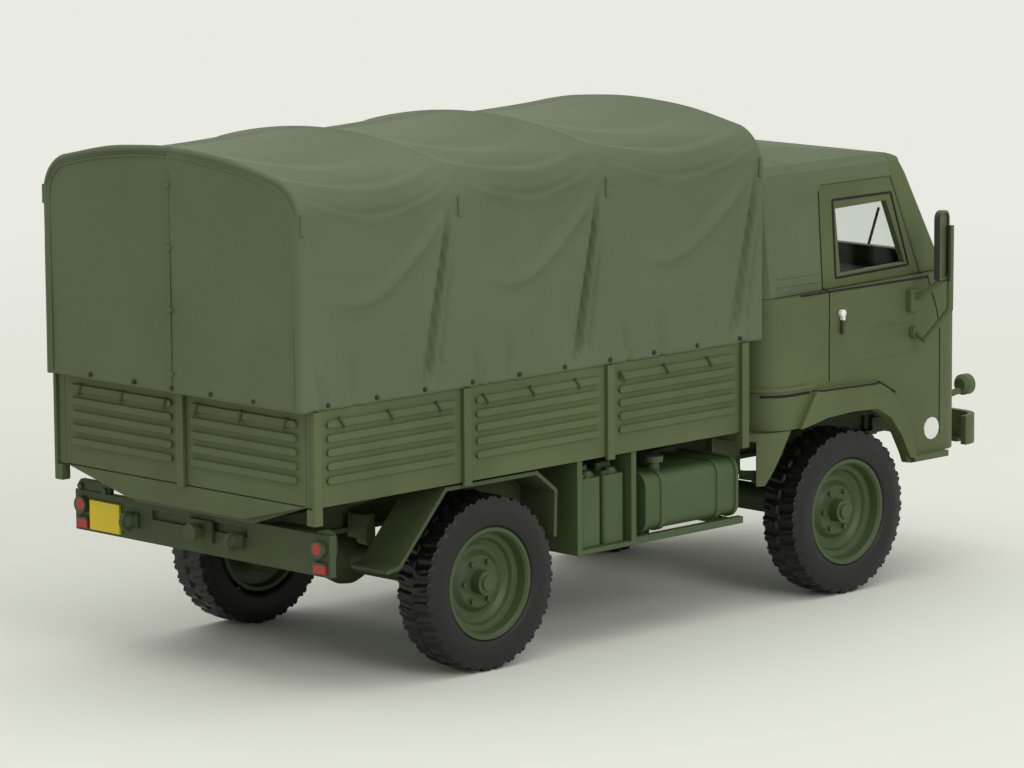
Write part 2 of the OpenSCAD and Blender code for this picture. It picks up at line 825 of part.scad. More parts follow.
// Cab interior: seats, engine cover and dashboard on the floor
interior_z = cab_floor_z + 1.2 + seat_gap;
module seat(y) {
  translate([0, y, 0]) {
    block([58, -5, interior_z], [68, 5, interior_z + 7]);
    across(-5, 5)
      polygon([
        [57.6, interior_z + 6],
        [60.4, interior_z + 6],
        [57.6, interior_z + 17],
        [55.4, interior_z + 17]
      ]);
  }
}
module cab_interior() {
  on_truck()
    color(trim_black) {
      seat(-13.6);
      seat(13.6);
      block([56, -5.5, interior_z], [80, 5.5, interior_z + 9]);
      across(-cab_half_w + cab_t + 1, cab_half_w - cab_t - 1)
        polygon([
          [79.5, interior_z + 8],
          [83.4, interior_z + 8],
          [86.2, belt_z - 1.5],
          [84.6, belt_z + 0.3],
          [80.3, belt_z - 0.6]
        ]);
      // Steering column
      rod([81.4, 13.6, belt_z - 5], [column_top[0], 13.6, column_top[1]], 0.5);
      block([79.5, -4, interior_z + 4], [84, 4, interior_z + 9]);
    }
}
column_top = [76.8, belt_z - 1.3];
module steering_wheel() {
  on_truck()
    color(trim_black)
      translate([column_top[0] - 0.35, 13.6, column_top[1] + 0.3])
        rotate([0, -52, 0])
          difference() {
            union() {
              rotate_extrude($fn = 48)
                translate([4, 0])
                  circle(0.42, $fn = 16);
              cylinder(r = 0.9, h = 0.8, center = true);
              for (a = [0:120:359])
                rotate(a)
                  translate([0, -0.3, -0.25])
                    cube([3.8, 0.6, 0.5]);
            }
          }
}

// Grille: a frame in the front panel with level slats
grille_half_w = 9.5;
grille_z = 22.5;
grille_h = 9;
module grille() {
  on_truck()
    color(green) {
      difference() {
        block([cab_front_x - 1.1, -grille_half_w + seat_gap, grille_z + seat_gap],
              [cab_front_x + 0.35, grille_half_w - seat_gap, grille_z + grille_h - seat_gap]);
        block([cab_front_x - 2, -grille_half_w + 0.8, grille_z + 0.8],
              [cab_front_x + 1, grille_half_w - 0.8, grille_z + grille_h - 0.8]);
      }
      for (i = [0:5])
        translate([cab_front_x - 0.9, 0, grille_z + 1.35 + i * (grille_h - 1.9) / 5.6])
          rotate([0, 25, 0])
            cube([1.1, 2 * grille_half_w - 1.2, 0.4], center = true);
      for (y = [-3.2, 3.2])
        block([cab_front_x - 1.1, y - 0.25, grille_z + 0.5], [cab_front_x - 0.2, y + 0.25, grille_z + grille_h - 0.5]);
    }
}

headlamp_y = 16.4;
headlamp_z = 24.6;
module headlamps() {
  on_truck()
    color(green)
      both_sides()
        translate([cab_front_x + seat_gap, -headlamp_y, headlamp_z])
          rotate([0, 90, 0])
            rotate_extrude()
              polygon([
                [0, 0], [headlamp_r, 0], [headlamp_r, 0.7], [headlamp_r - 0.25, 1],
                [headlamp_r - 0.5, 0.8], [headlamp_r * 0.45, 1.25], [0, 1.4]
              ]);
}

// Small round lamps on short arms at the front corners
marker_y = 20.6;
marker_r = 1.45;
marker_x = cab_front_x + 4.1;
module marker_lamps() {
  on_truck()
    color(green)
      both_sides() {
        translate([marker_x - 1, -marker_y, 24.9])
          rotate([0, 90, 0])
            rotate_extrude()
              polygon([
                [0, 0], [marker_r - 0.5, 0], [marker_r, 0.5], [marker_r, 1.7],
                [marker_r - 0.3, 1.9], [marker_r * 0.6, 2.2], [0, 2.35]
              ]);
        rod([cab_front_x + 0.2, -marker_y + 0.8, 23.5], [marker_x, -marker_y, 24.3], 0.45);
      }
}

// Front bumper: a plate with swept ends and a rolled foot
bumper_t = 0.9;
bumper_back_x = bumper_front_x - bumper_t;
bumper_end_r = 4;
module front_bumper() {
  on_truck()
    color(green) {
      difference() {
        translate([0, 0, bumper_z])
          linear_extrude(bumper_h)
            difference() {
              bumper_plan(0);
              bumper_plan(bumper_t);
            }
        block([0, -40, 0], [bumper_front_x - 4.4, 40, 60]);
      }
      translate([bumper_front_x - 1.5, -bumper_half_w + bumper_end_r, bumper_z - 0.4])
        cube([0.8, 2 * (bumper_half_w - bumper_end_r), 0.6]);
    }
}
module bumper_plan(i) {
  r = bumper_end_r - i;
  translate([bumper_front_x - 20, -bumper_half_w + i])
    square([20 - i - r, 2 * (bumper_half_w - i)]);
  translate([bumper_front_x - 20, -bumper_half_w + bumper_end_r])
    square([20 - i, 2 * (bumper_half_w - bumper_end_r)]);
  for (s = [-1, 1])
    translate([bumper_front_x - bumper_end_r, s * (bumper_half_w - bumper_end_r)])
      circle(r);
}

// Mirrors: two bent arms from the door to an upright post, which carries a narrow plate
mirror_foot_x = cowl_x - 7.7;
mirror_post = [mirror_foot_x + 1.7, -cab_half_w - mirror_reach];
mirror_tube_r = 0.45;
mirror_low_z = belt_z - 7.2;
mirror_plate_z = belt_z + 0.4;
// A bent tube through the points, mitred at its bends: each ring of points runs on along the tube
// to the plane that halves the next bend
tube_sides = 12;
function tube_dir(q, i) = dir(q[i], q[i + 1]);
function bend_normal(q, i) = i == len(q) - 1 ? tube_dir(q, i - 1) : tube_dir(q, i - 1) + tube_dir(q, i);
function run_on(ring, d, c, n) = [for (a = ring) a + d * (((c - a) * n) / (d * n))];
function tube_rings(q, ring, i) = i == len(q) - 1 ? [ring] :
  concat([ring], tube_rings(q, run_on(ring, tube_dir(q, i), q[i + 1], bend_normal(q, i + 1)), i + 1));
module mirror_tube(q) {
  d = tube_dir(q, 0);
  u = cross(d, [1, 0, 0]) / norm(cross(d, [1, 0, 0]));
  v = cross(d, u);
  n = tube_sides;
  rings = tube_rings(q, [for (k = [0:n - 1]) q[0] + mirror_tube_r * (cos(360 * k / n) * u + sin(360 * k / n) * v)], 0);
  polyhedron([for (ring = rings) each ring], concat(
    [for (i = [0:len(q) - 2]) for (k = [0:n - 1]) let (k1 = (k + 1) % n)
      each [[i * n + k, (i + 1) * n + k1, i * n + k1], [i * n + k, (i + 1) * n + k, (i + 1) * n + k1]]],
    [[for (k = [0:n - 1]) k]],
    [[for (k = [n - 1:-1:0]) (len(q) - 1) * n + k]]
  ));
}
module door_mirror() {
  // Lower arm and post, one bent tube from a round foot
  rod([mirror_foot_x, -cab_half_w - seat_gap, mirror_low_z], [mirror_foot_x, -cab_half_w - 0.8, mirror_low_z], 0.85);
  mirror_tube([
    [mirror_foot_x, -cab_half_w - 0.6, mirror_low_z],
    [mirror_foot_x - 0.2, -cab_half_w - 2.4, mirror_low_z - 0.8],
    [mirror_post[0] - 0.1, mirror_post[1], mirror_low_z + 3.5],
    [mirror_post[0], mirror_post[1], mirror_plate_z + 7.3]
  ]);
  // Upper arm from a block
  block([mirror_foot_x - 1.4, -cab_half_w - 0.9, belt_z - 4.2], [mirror_foot_x + 0.8, -cab_half_w - seat_gap, belt_z - 1.3]);
  mirror_tube([
    [mirror_foot_x - 0.2, -cab_half_w - 0.6, belt_z - 2.4],
    [mirror_foot_x - 0.1, -cab_half_w - 2.2, belt_z - 1.6],
    [mirror_post[0], mirror_post[1], belt_z + 1]
  ]);
  // Plate, its outer top corner rounded, with a rim around the glass that faces the driver
  translate([mirror_post[0] - 1.2, mirror_post[1] + 0.55, mirror_plate_z])
    rotate([0, 0, 14])
      difference() {
        across(-0.45, 0.45)
          mirror_outline(0);
        across(-1, -0.2)
          mirror_outline(0.35);
      }
}
// The plate in (length, height), drawn in by i
module mirror_outline(i) {
  w = 2.9;
  r = 1.2;
  translate([-w / 2 + i, i])
    square([w - 2 * i, mirror_h - r - i]);
  translate([-w / 2 + r, mirror_h - r])
    circle(r - i);
  translate([w / 2 - r, mirror_h - r])
    circle(r - i);
  translate([-w / 2 + r, mirror_h - r])
    square([w - 2 * r, r - i]);
}
module mirrors() {
  on_truck()
    color(green)
      both_sides()
        door_mirror();
}

module wipers() {
  on_truck()
    color(trim_black)
      both_sides() {
        rod([cowl_x - 0.3, -9, belt_z + 1.6], [cowl_x - 3.2, -13.8, belt_z + 8.6], 0.2);
        translate([cowl_x - 0.2, -9, belt_z + 1.7])
          sphere(0.5, $fn = 24);
      }
}

module door_handles() {
  on_truck()
    color(steel)
      both_sides() {
        translate([66, -cab_half_w - seat_gap, 38.4])
          rotate([90, 0, 0])
            cylinder(r = 0.5, h = 0.5);
        block([65.8, -cab_half_w - 0.6, 35.6], [66.25, -cab_half_w - seat_gap, 38.4]);
      }
}

// Cargo bed

floor_t = 1.6;
floor_z = bed_z + seat_gap;
bearer_xs = [bed_tail_x + 2.2, -10.6, guard_front_x + 1.3, (rack_x1 + tank_x0) / 2, bed_nose_x - 3];
tongue_t = 0.35;
module cargo_floor() {
  on_truck()
    color(green) {
      block([bed_tail_x + panel_t + seat_gap, -bed_half_w + panel_t + seat_gap, floor_z],
            [bed_nose_x - panel_t - seat_gap, bed_half_w - panel_t - seat_gap, floor_z + floor_t]);
      // Cross bearers, deep in the middle and tapered to the sides
      for (x = bearer_xs)
        along(x - 0.6, x + 0.6)
          polygon([
            [-rail_out_y - 1.3, rail_top_z + seat_gap],
            [rail_out_y + 1.3, rail_top_z + seat_gap],
            [bed_half_w - 1.6, floor_z + 0.1],
            [-bed_half_w + 1.6, floor_z + 0.1]
          ]);
    }
}

// A drop-side panel, drawn as seen from outside: board, ribs, and the tongue behind the tarp
panel_h = panel_show_h - seat_gap;
tongue_h = 0.8;
rib_h = 0.9;
rib_proud = 0.35;
rib_pitch = (panel_h - 3.2) / panel_ribs;
first_rib_z = bed_z + 3.2;
// The ribs of one panel in (length, height), from l0 to l1
module rib_outlines(l0, l1) {
  for (i = [0:panel_ribs - 1])
    translate([0, first_rib_z + i * rib_pitch]) {
      translate([l0 + rib_h / 2, -rib_h / 2])
        square([l1 - l0 - rib_h, rib_h]);
      for (l = [l0 + rib_h / 2, l1 - rib_h / 2])
        translate([l, 0])
          circle(rib_h / 2, $fn = 24);
    }
}
module side_panel() {
  block([bed_tail_x, -bed_half_w, bed_z], [bed_nose_x, -bed_half_w + panel_t, bed_z + panel_h]);
  block([bed_tail_x + 1, -bed_half_w + panel_t - tongue_t, bed_z + panel_h - 1],
        [bed_nose_x - 1, -bed_half_w + panel_t, bed_z + panel_h + tongue_h]);
  across(-bed_half_w - rib_proud, -bed_half_w + eps)
    for (i = [0:2])
      rib_outlines(post_xs[i] + 1.8, post_xs[i + 1] - 1.8);
}
module side_panel_right() {
  on_truck()
    color(green)
      side_panel();
}
module side_panel_left() {
  on_truck()
    color(green)
      mirror([0, 1, 0])
        side_panel();
}
module end_panel(tail) {
  in_w = bed_half_w - panel_t - seat_gap;
  block([0, -in_w, bed_z], [panel_t, in_w, bed_z + panel_h]);
  block([panel_t - tongue_t, -in_w, bed_z + panel_h - 1], [panel_t, in_w, bed_z + panel_h + tongue_h]);
  if (tail)
    along(-rib_proud, eps) {
      rib_outlines(-in_w + 1.4, -1.8);
      rib_outlines(1.8, in_w - 1.4);
    }
}
module tail_panel() {
  on_truck()
    color(green)
      translate([bed_tail_x, 0, 0])
        end_panel(true);
}
module head_panel() {
  on_truck()
    color(green)
      translate([bed_nose_x, 0, 0])
        mirror([1, 0, 0])
          end_panel(false);
}

// Upright posts with a hook at the foot
post_foot_z = bed_z - 2.1;
module post(x) {
  block([x - post_w / 2, -bed_half_w - post_proud, bed_z - 0.4],
        [x + post_w / 2, -bed_half_w - seat_gap, hem_z - seat_gap]);
}
module bed_posts() {
  on_truck()
    color(green) {
      both_sides() {
        for (x = post_xs)
          post(x);
        for (x = [post_xs[0], post_xs[3]])
          block([x - post_w / 2, -bed_half_w - post_proud, post_foot_z], [x + post_w / 2, -bed_half_w + 0.9, bed_z - 0.1]);
      }
      block([bed_tail_x - post_proud, -post_w / 2, bed_z - 0.1], [bed_tail_x - seat_gap, post_w / 2, hem_z - seat_gap]);
    }
}

// Tarp: one moulded shell over four hoops, with the roof sagging and the sides folding between

hoop_xs = [tarp_tail_x, bed_tail_x + bed_len / 3 - 0.9, bed_tail_x + 2 * bed_len / 3 - 0.3, tarp_nose_x];
roof_r = (pow(tarp_half_w - shoulder_r, 2) + pow(roof_rise, 2)) / (2 * roof_rise);
roof_top_z = eave_z + shoulder_r + roof_rise;
// Share of the way across the bay that x lies in, 0 at its rear hoop and 1 at its front hoop
function bay_of(x) = x < hoop_xs[1] ? 0 : x < hoop_xs[2] ? 1 : 2;
function bay_share(x) = let (b = bay_of(x)) (x - hoop_xs[b]) / (hoop_xs[b + 1] - hoop_xs[b]);
function bump(t, c, w) = exp(-pow((t - c) / w, 2));
// How deep the cloth lies at x on the sides at height share h, and on the roof
function swag(x) = let (t = bay_share(x)) pow(sin(180 * t), 0.7);
function side_fold(x, h) = let (t = bay_share(x))
  fold_depth * swag(x) * (0.35 + 0.65 * h)
  + fold_depth * 0.55 * bump(t, 0.16 + 0.05 * h, 0.045) * (1 - 0.5 * h)
  + fold_depth * 0.45 * bump(t - 0.5 * (1 - h), 0.3, 0.09) * sin(180 * t);
// Section points at x: up the right side, over the roof and down the left, drawn in by i
side_steps = 7;
shoulder_steps = 5;
roof_steps = 10;
function wall_point(x, i, k) = let (h = k / side_steps)
  [-(tarp_half_w - i) + (i > 0 ? 1 : 1) * side_fold(x, h) * (k == 0 ? 0.15 : 1), hem_z + (eave_z - hem_z) * h];
function shoulder_point(x, i, k) = let (
  a = 90 * k / shoulder_steps,
  r = shoulder_r - i,
  d = side_fold(x, 1) * cos(a) + roof_sag * 0.55 * swag(x) * sin(a))
  [-(tarp_half_w - shoulder_r) - (r - d) * cos(a), eave_z + (r - d) * sin(a)];
function roof_point(x, i, k) = let (
  y = -(tarp_half_w - shoulder_r) * (1 - 2 * k / roof_steps),
  rise = sqrt(pow(roof_r, 2) - pow(y, 2)) - (roof_r - roof_rise),
  d = roof_sag * swag(x) * (0.55 + 0.45 * (1 - pow(y / (tarp_half_w - shoulder_r), 2))))
  [y, eave_z + shoulder_r + rise - i - d];
function half_section(x, i) = concat(
  [for (k = [0:side_steps]) wall_point(x, i, k)],
  [for (k = [1:shoulder_steps - 1]) shoulder_point(x, i, k)]
);
function section(x, i) = let (h = half_section(x, i)) concat(
  h,
  [for (k = [0:roof_steps]) roof_point(x, i, k)],
  [for (k = [len(h) - 1:-1:0]) [-h[k][0], h[k][1]]]
);
// A closed solid through the sections at the stations xs
module skin(xs, i, drop) {
  n = len(section(xs[0], i));
  pts = [for (x = xs) for (p = section(x, i)) [x, p[0], p[1] == hem_z ? hem_z - drop : p[1]]];
  m = len(xs);
  sides = [for (a = [0:m - 2]) for (b = [0:n - 1]) let (c = (b + 1) % n)
    each [[a * n + b, a * n + c, (a + 1) * n + c], [a * n + b, (a + 1) * n + c, (a + 1) * n + b]]];
  // The ends, closed from one side of the section to the other
  tail = [for (b = [0:(n - 3) / 2]) each concat(
    [[b, n - 1 - b, b + 1]],
    b + 1 < n - 2 - b ? [[b + 1, n - 1 - b, n - 2 - b]] : []
  )];
  nose = [for (f = tail) [for (k = [2, 1, 0]) (m - 1) * n + f[k]]];
  polyhedron(pts, concat(sides, tail, nose));
}
tarp_stations = 13;
function bay_stations(b, n, end) = [
  for (k = [0:n - (end ? 0 : 1)]) hoop_xs[b] + (hoop_xs[b + 1] - hoop_xs[b]) * k / n
];
module tarp() {
  outer = concat(
    bay_stations(0, tarp_stations, false), bay_stations(1, tarp_stations, false), bay_stations(2, tarp_stations, true)
  );
  coarse = concat(bay_stations(0, 6, false), bay_stations(1, 6, false), bay_stations(2, 6, true));
  inner = [for (x = coarse) max(tarp_tail_x + tarp_t, min(tarp_nose_x - tarp_t, x))];
  on_truck()
    color(tarp_green)
      difference() {
        skin(outer, 0, 0);
        skin(inner, tarp_t, 1);
      }
}

// Side gear

guard_t = 0.5;
module rear_mudguards() {
  path = [[guard_front_x - 0.2, 15.5], [guard_front_x, 21.6], [8.7, bed_z - 0.3], [-7.4, bed_z - 0.3], [-15.5, 15.6], [-17.6, 15.3]];
  on_truck()
    color(green)
      both_sides()
        difference() {
          union() {
            across(-23.8, -tyre_in_y + 1)
              polygon(sheet(path, guard_t));
            across(-tyre_in_y + 0.8, -tyre_in_y + 1.3)
              polygon(concat(path, [[-12, 15.3], [-12.2, 17], [0, 24.1], [11, 18], [11, 15.5]]));
          }
        }
}

rack_z0 = 12.4;
rack_in_y = -14;
module can_racks() {
  on_truck()
    color(green)
      both_sides() {
        for (x = [rack_x0, rack_x1 - 0.9])
          block([x, -bed_half_w + 0.2, rack_z0], [x + 0.9, rack_in_y, bed_z - seat_gap]);
        block([rack_x0, -bed_half_w + 0.2, rack_z0], [rack_x1, rack_in_y, rack_z0 + 0.6]);
        block([rack_x0, rack_in_y - 0.6, rack_z0], [rack_x1, rack_in_y, bed_z - seat_gap]);
        // Arm to the frame rail
        block([rack_x0 + 3, rack_in_y - 0.1, rail_z + 0.7], [rack_x1 - 3, -rail_out_y - seat_gap, rail_top_z - 0.8]);
      }
}
module jerrycan() {
  body_h = can_h - 1.4;
  linear_extrude(body_h)
    round_rect(can_w - 0.1, can_d, 0.7);
  // Shoulders and three handles
  translate([0, 0, body_h - 0.2])
    linear_extrude(0.6)
      round_rect(can_w - 1, can_d - 1.4, 0.6);
  for (x = [-1, 0, 1])
    translate([x * (can_w / 2 - 0.9), can_d / 2 - 1.3, body_h + 1.1])
      rotate([90, 0, 0])
        cylinder(r = 0.25, h = can_d - 3.4, $fn = 16);
  for (y = [can_d / 2 - 1.5, -can_d / 2 + 2.3])
    translate([0, y, body_h + 0.6])
      cube([can_w - 1.4, 0.5, 1.3], center = true);
  // Spout cap
  translate([0, -can_d / 2 + 1, body_h - 0.3])
    cylinder(r = 0.7, h = 1.1, $fn = 24);
}
module jerrycans() {
  can_y = -bed_half_w + 0.9 + can_d / 2;
  mid = (rack_x0 + rack_x1) / 2;
  on_truck()
    color(green)
      both_sides()
        for (s = [-1, 1])
          translate([mid + s * (can_w / 2 + 0.2), can_y, rack_z0 + 0.6 + seat_gap])
            jerrycan();
}

tank_out_y = 23.6;
tank_in_y = 12.6;
module fuel_tanks() {
  x1 = tank_x0 + tank_len;
  mid_y = -(tank_out_y + tank_in_y) / 2;
  mid_tank_z = tank_z + tank_h / 2;
  on_truck()
    color(green)
      both_sides() {
        translate([tank_x0, mid_y, mid_tank_z])
          rotate([90, 0, 90])
            linear_extrude(tank_len)
              round_rect(tank_out_y - tank_in_y, tank_h, 1.7);
        // Rolled end seams
        for (x = [tank_x0, x1 - 0.5])
          translate([x, mid_y, mid_tank_z])
            rotate([90, 0, 90])
              linear_extrude(0.5)
                round_rect(tank_out_y - tank_in_y + 0.5, tank_h + 0.5, 1.9);
        // Straps
        for (x = [tank_x0 + 3, x1 - 4])
          translate([x, mid_y, mid_tank_z])
            rotate([90, 0, 90])
              linear_extrude(0.9)
                round_rect(tank_out_y - tank_in_y + 0.4, tank_h + 0.4, 1.8);
        // Filler neck and cap
        translate([tank_x0 + 4.4, -tank_out_y + 2.6, tank_z + tank_h - 0.6])
          cylinder(r = 0.8, h = 2);
        translate([tank_x0 + 4.4, -tank_out_y + 2.6, tank_z + tank_h + 1])
          cylinder(r = 1.3, h = 0.8);
        // Arms to the frame rail
        for (x = [tank_x0 + 3, x1 - 4])
          block([x, -tank_in_y - 0.4, rail_z + 0.7], [x + 0.9, -rail_out_y - seat_gap, rail_top_z - 0.8]);
      }
}
module tank_rails() {
  on_truck()
    color(green)
      both_sides() {
        block([rack_x1 + seat_gap, -tank_out_y, rack_z0], [tank_x0 + tank_len + 1.2, -tank_out_y + 1, tank_z - 0.3]);
        for (x = [tank_x0 + 1, tank_x0 + tank_len - 1])
          block([x - 0.5, -tank_out_y, rack_z0], [x + 0.5, -tank_in_y, tank_z - 0.3]);
      }
}

// Tail

tail_bar_t = 1;
tail_bar_x = -27.2;
tail_bar_back_x = tail_bar_x + tail_bar_t;
module rear_bar() {
  on_truck()
    color(green)
      difference() {
        block([tail_bar_x, -tail_bar_half_w, tail_bar_z],
              [tail_bar_x + tail_bar_t, tail_bar_half_w, tail_bar_z + tail_bar_h]);
        // Long slot in the middle
        block([tail_bar_x - 1, -9, tail_bar_z + 3.1], [tail_bar_x + 0.5, 9, tail_bar_z + 4.3]);
      }
}
module tow_hooks() {
  on_truck()
    color(green)
      for (y = [-7.6, 12.3])
        translate([tail_bar_x - seat_gap, y, tail_bar_z + 2.6]) {
          block([-0.5, -0.9, -0.9], [0, 0.9, 0.9]);
          translate([-1.3, 0, 0])
            rotate([90, 0, 0])
              rotate_extrude($fn = 48)
                translate([1, 0])
                  circle(0.32, $fn = 16);
        }
}
module hitch() {
  on_truck()
    color(green)
      translate([tail_bar_x - seat_gap, -0.7, tail_bar_z + 3]) {
        block([-0.5, -2.2, -1.4], [0, 2.2, 1.4]);
        translate([-1.6, 0, 0])
          rotate([0, 90, 0])
            cylinder(r = 0.8, h = 1.4);
        translate([-2.3, 0, 0])
          rotate([0, 90, 0])
            cylinder(r = 1.1, h = 0.9);
      }
}
module rear_lamps() {
  on_truck()
    color(lamp_red)
      both_sides()
        translate([tail_bar_x - seat_gap, -22.4, tail_bar_z + 3.4]) {
          rotate([0, -90, 0])
            cylinder(r = 1.1, h = 0.7);
          block([-0.4, -1, -3], [0, 1, -1.6]);
        }
}
module number_plate() {
  on_truck()
    color(plate_yellow)
      block([tail_bar_x - 0.4, 15, tail_bar_z + 0.4], [tail_bar_x - seat_gap, 20.8, tail_bar_z + 4.2]);
}

chassis_frame();
front_axle_housing();
rear_axle_housing();
leaf_springs();
drivetrain();
exhaust();
cab_body();
cab_skirts();
cab_top();
door_frames();
windscreen_frame();
cab_glazing();
cab_interior();
steering_wheel();
grille();
headlamps();
marker_lamps();
front_bumper();
mirrors();
wipers();
door_handles();
cargo_floor();
side_panel_right();
side_panel_left();
tail_panel();
head_panel();
bed_posts();
tarp();
rear_mudguards();
can_racks();
jerrycans();
fuel_tanks();
tank_rails();
rear_bar();
tow_hooks();
hitch();
rear_lamps();
number_plate();
front_axle_pin();
rear_axle_pin();
tyre_front_right();
tyre_front_left();
tyre_rear_right();
tyre_rear_left();
rim_front_right();
rim_front_left();
rim_rear_right();
rim_rear_left();
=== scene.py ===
"""Scale model of a light four-wheel-drive cargo truck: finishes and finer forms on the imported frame."""

import math

import bmesh
import bpy
import numpy as np
from mathutils import Matrix, Vector
from mathutils.bvhtree import BVHTree


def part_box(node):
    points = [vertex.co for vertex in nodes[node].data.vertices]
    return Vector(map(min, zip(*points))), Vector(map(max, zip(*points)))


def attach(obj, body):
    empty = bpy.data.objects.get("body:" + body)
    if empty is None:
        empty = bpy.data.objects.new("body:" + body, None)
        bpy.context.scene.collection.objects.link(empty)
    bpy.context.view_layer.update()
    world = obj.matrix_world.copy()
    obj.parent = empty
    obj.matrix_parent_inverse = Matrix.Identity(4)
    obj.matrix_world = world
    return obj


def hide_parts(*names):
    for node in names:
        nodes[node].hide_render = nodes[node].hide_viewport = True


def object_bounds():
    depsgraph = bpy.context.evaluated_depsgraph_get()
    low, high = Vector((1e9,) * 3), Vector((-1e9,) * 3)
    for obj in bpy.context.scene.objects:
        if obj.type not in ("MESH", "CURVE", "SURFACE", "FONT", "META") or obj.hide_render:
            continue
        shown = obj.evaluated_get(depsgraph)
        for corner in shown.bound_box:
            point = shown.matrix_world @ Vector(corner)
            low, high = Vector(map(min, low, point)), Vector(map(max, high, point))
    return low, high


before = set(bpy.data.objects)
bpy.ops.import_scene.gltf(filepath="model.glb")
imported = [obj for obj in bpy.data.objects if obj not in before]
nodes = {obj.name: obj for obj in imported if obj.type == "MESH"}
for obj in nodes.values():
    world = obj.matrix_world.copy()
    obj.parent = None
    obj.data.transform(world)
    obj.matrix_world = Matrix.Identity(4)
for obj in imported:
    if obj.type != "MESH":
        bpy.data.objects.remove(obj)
cad_low, cad_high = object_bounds()
MM = 0.001

# Camera
# The view from behind the truck's right rear corner, a little above it, with a long lens.
# Its place is measured from the rear axle on the ground, and the frame gives where that is.
rear_axle_x = sum(p.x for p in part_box("rear_axle_pin")) / 2
camera_from_axle = Vector((-436.11, -469.80, 136.58)) * MM
camera_yaw = math.radians(45.368)
camera_pitch = math.radians(-9.104)
camera_roll = math.radians(-0.421)
focal_pixels = 5065.0
image_width = 1024
sensor_width = 36.0
image_shift = (0.0007, -0.0007)

looking = Vector((
    math.cos(camera_yaw) * math.cos(camera_pitch),
    math.sin(camera_yaw) * math.cos(camera_pitch),
    math.sin(camera_pitch),
))
level_right = Vector((math.sin(camera_yaw), -math.cos(camera_yaw), 0))
level_up = level_right.cross(looking)
right = level_right * math.cos(camera_roll) + level_up * math.sin(camera_roll)
up = level_up * math.cos(camera_roll) - level_right * math.sin(camera_roll)
camera_data = bpy.data.cameras.new("camera")
camera_data.sensor_width = sensor_width
camera_data.lens = focal_pixels / image_width * sensor_width
camera_data.shift_x, camera_data.shift_y = image_shift
camera_data.clip_start = 0.02
camera_data.clip_end = 20
camera = bpy.data.objects.new("camera", camera_data)
camera.matrix_world = Matrix((
    (right.x, up.x, -looking.x, rear_axle_x + camera_from_axle.x),
    (right.y, up.y, -looking.y, camera_from_axle.y),
    (right.z, up.z, -looking.z, camera_from_axle.z),
    (0, 0, 0, 1),
))
bpy.context.scene.collection.objects.link(camera)
bpy.context.scene.camera = camera


# Floor and light
# A pale table top that runs into a pale background, two soft lamps and a soft sky.
# The background's paleness is what the camera and the gloss see; it doesn't light the model.
def srgb(r, g, b):
    """A colour as it looks on a screen, 0 to 255, as the shader wants it."""
    return tuple((c / 255 / 12.92) if c < 10.3 else ((c / 255 + 0.055) / 1.055) ** 2.4 for c in (r, g, b))


def new_material(name):
    """A material with nodes, its tree and its surface shader."""
    material = bpy.data.materials.new(name)
    material.use_nodes = True
    tree = material.node_tree
    return material, tree, tree.nodes["Principled BSDF"]


def add_node(tree, kind, **sockets):
    """A node of the tree with some of its input sockets set, named with spaces as underscores."""
    node = tree.nodes.new(kind)
    for name, value in sockets.items():
        node.inputs[name.replace("_", " ")].default_value = value
    return node


def new_piece(name, mesh):
    """An object at the origin that shows the mesh."""
    piece = bpy.data.objects.new(name, mesh)
    bpy.context.scene.collection.objects.link(piece)
    return piece


backdrop_colour = srgb(233, 234, 226)
table_colour = srgb(229, 231, 221)
floor_reach = 2.5
fade_near = 0.10
fade_far = 0.42
floor_material, floor_tree, floor_shader = new_material("table_top")
floor_shader.inputs["Base Color"].default_value = (*table_colour, 1)
floor_shader.inputs["Roughness"].default_value = 0.75
floor_shader.inputs["Specular IOR Level"].default_value = 0.15
floor_place = add_node(floor_tree, "ShaderNodeTexCoord")
floor_distance = add_node(floor_tree, "ShaderNodeVectorMath")
floor_distance.operation = "LENGTH"
floor_fade = add_node(
    floor_tree, "ShaderNodeMapRange", From_Min=fade_near, From_Max=fade_far, To_Min=0.0, To_Max=1.0
)
floor_fade.interpolation_type = "SMOOTHSTEP"
floor_rays = add_node(floor_tree, "ShaderNodeLightPath")
floor_seen = add_node(floor_tree, "ShaderNodeMath")
floor_seen.operation = "MULTIPLY"
floor_plain = add_node(floor_tree, "ShaderNodeEmission", Color=(*backdrop_colour, 1), Strength=1.0)
floor_mix = add_node(floor_tree, "ShaderNodeMixShader")
floor_tree.links.new(floor_place.outputs["Object"], floor_distance.inputs[0])
floor_tree.links.new(floor_distance.outputs["Value"], floor_fade.inputs["Value"])
floor_tree.links.new(floor_fade.outputs["Result"], floor_seen.inputs[0])
floor_tree.links.new(floor_rays.outputs["Is Camera Ray"], floor_seen.inputs[1])
floor_tree.links.new(floor_seen.outputs[0], floor_mix.inputs["Fac"])
floor_tree.links.new(floor_shader.outputs[0], floor_mix.inputs[1])
floor_tree.links.new(floor_plain.outputs[0], floor_mix.inputs[2])
floor_tree.links.new(floor_mix.outputs[0], floor_tree.nodes["Material Output"].inputs["Surface"])
floor_mesh = bpy.data.meshes.new("table_top")
floor_corners = [(x * floor_reach, y * floor_reach, 0) for x, y in ((-1, -1), (1, -1), (1, 1), (-1, 1))]
floor_mesh.from_pydata(floor_corners, [], [(0, 1, 2, 3)])
floor = new_piece("table_top", floor_mesh)
floor.data.materials.append(floor_material)

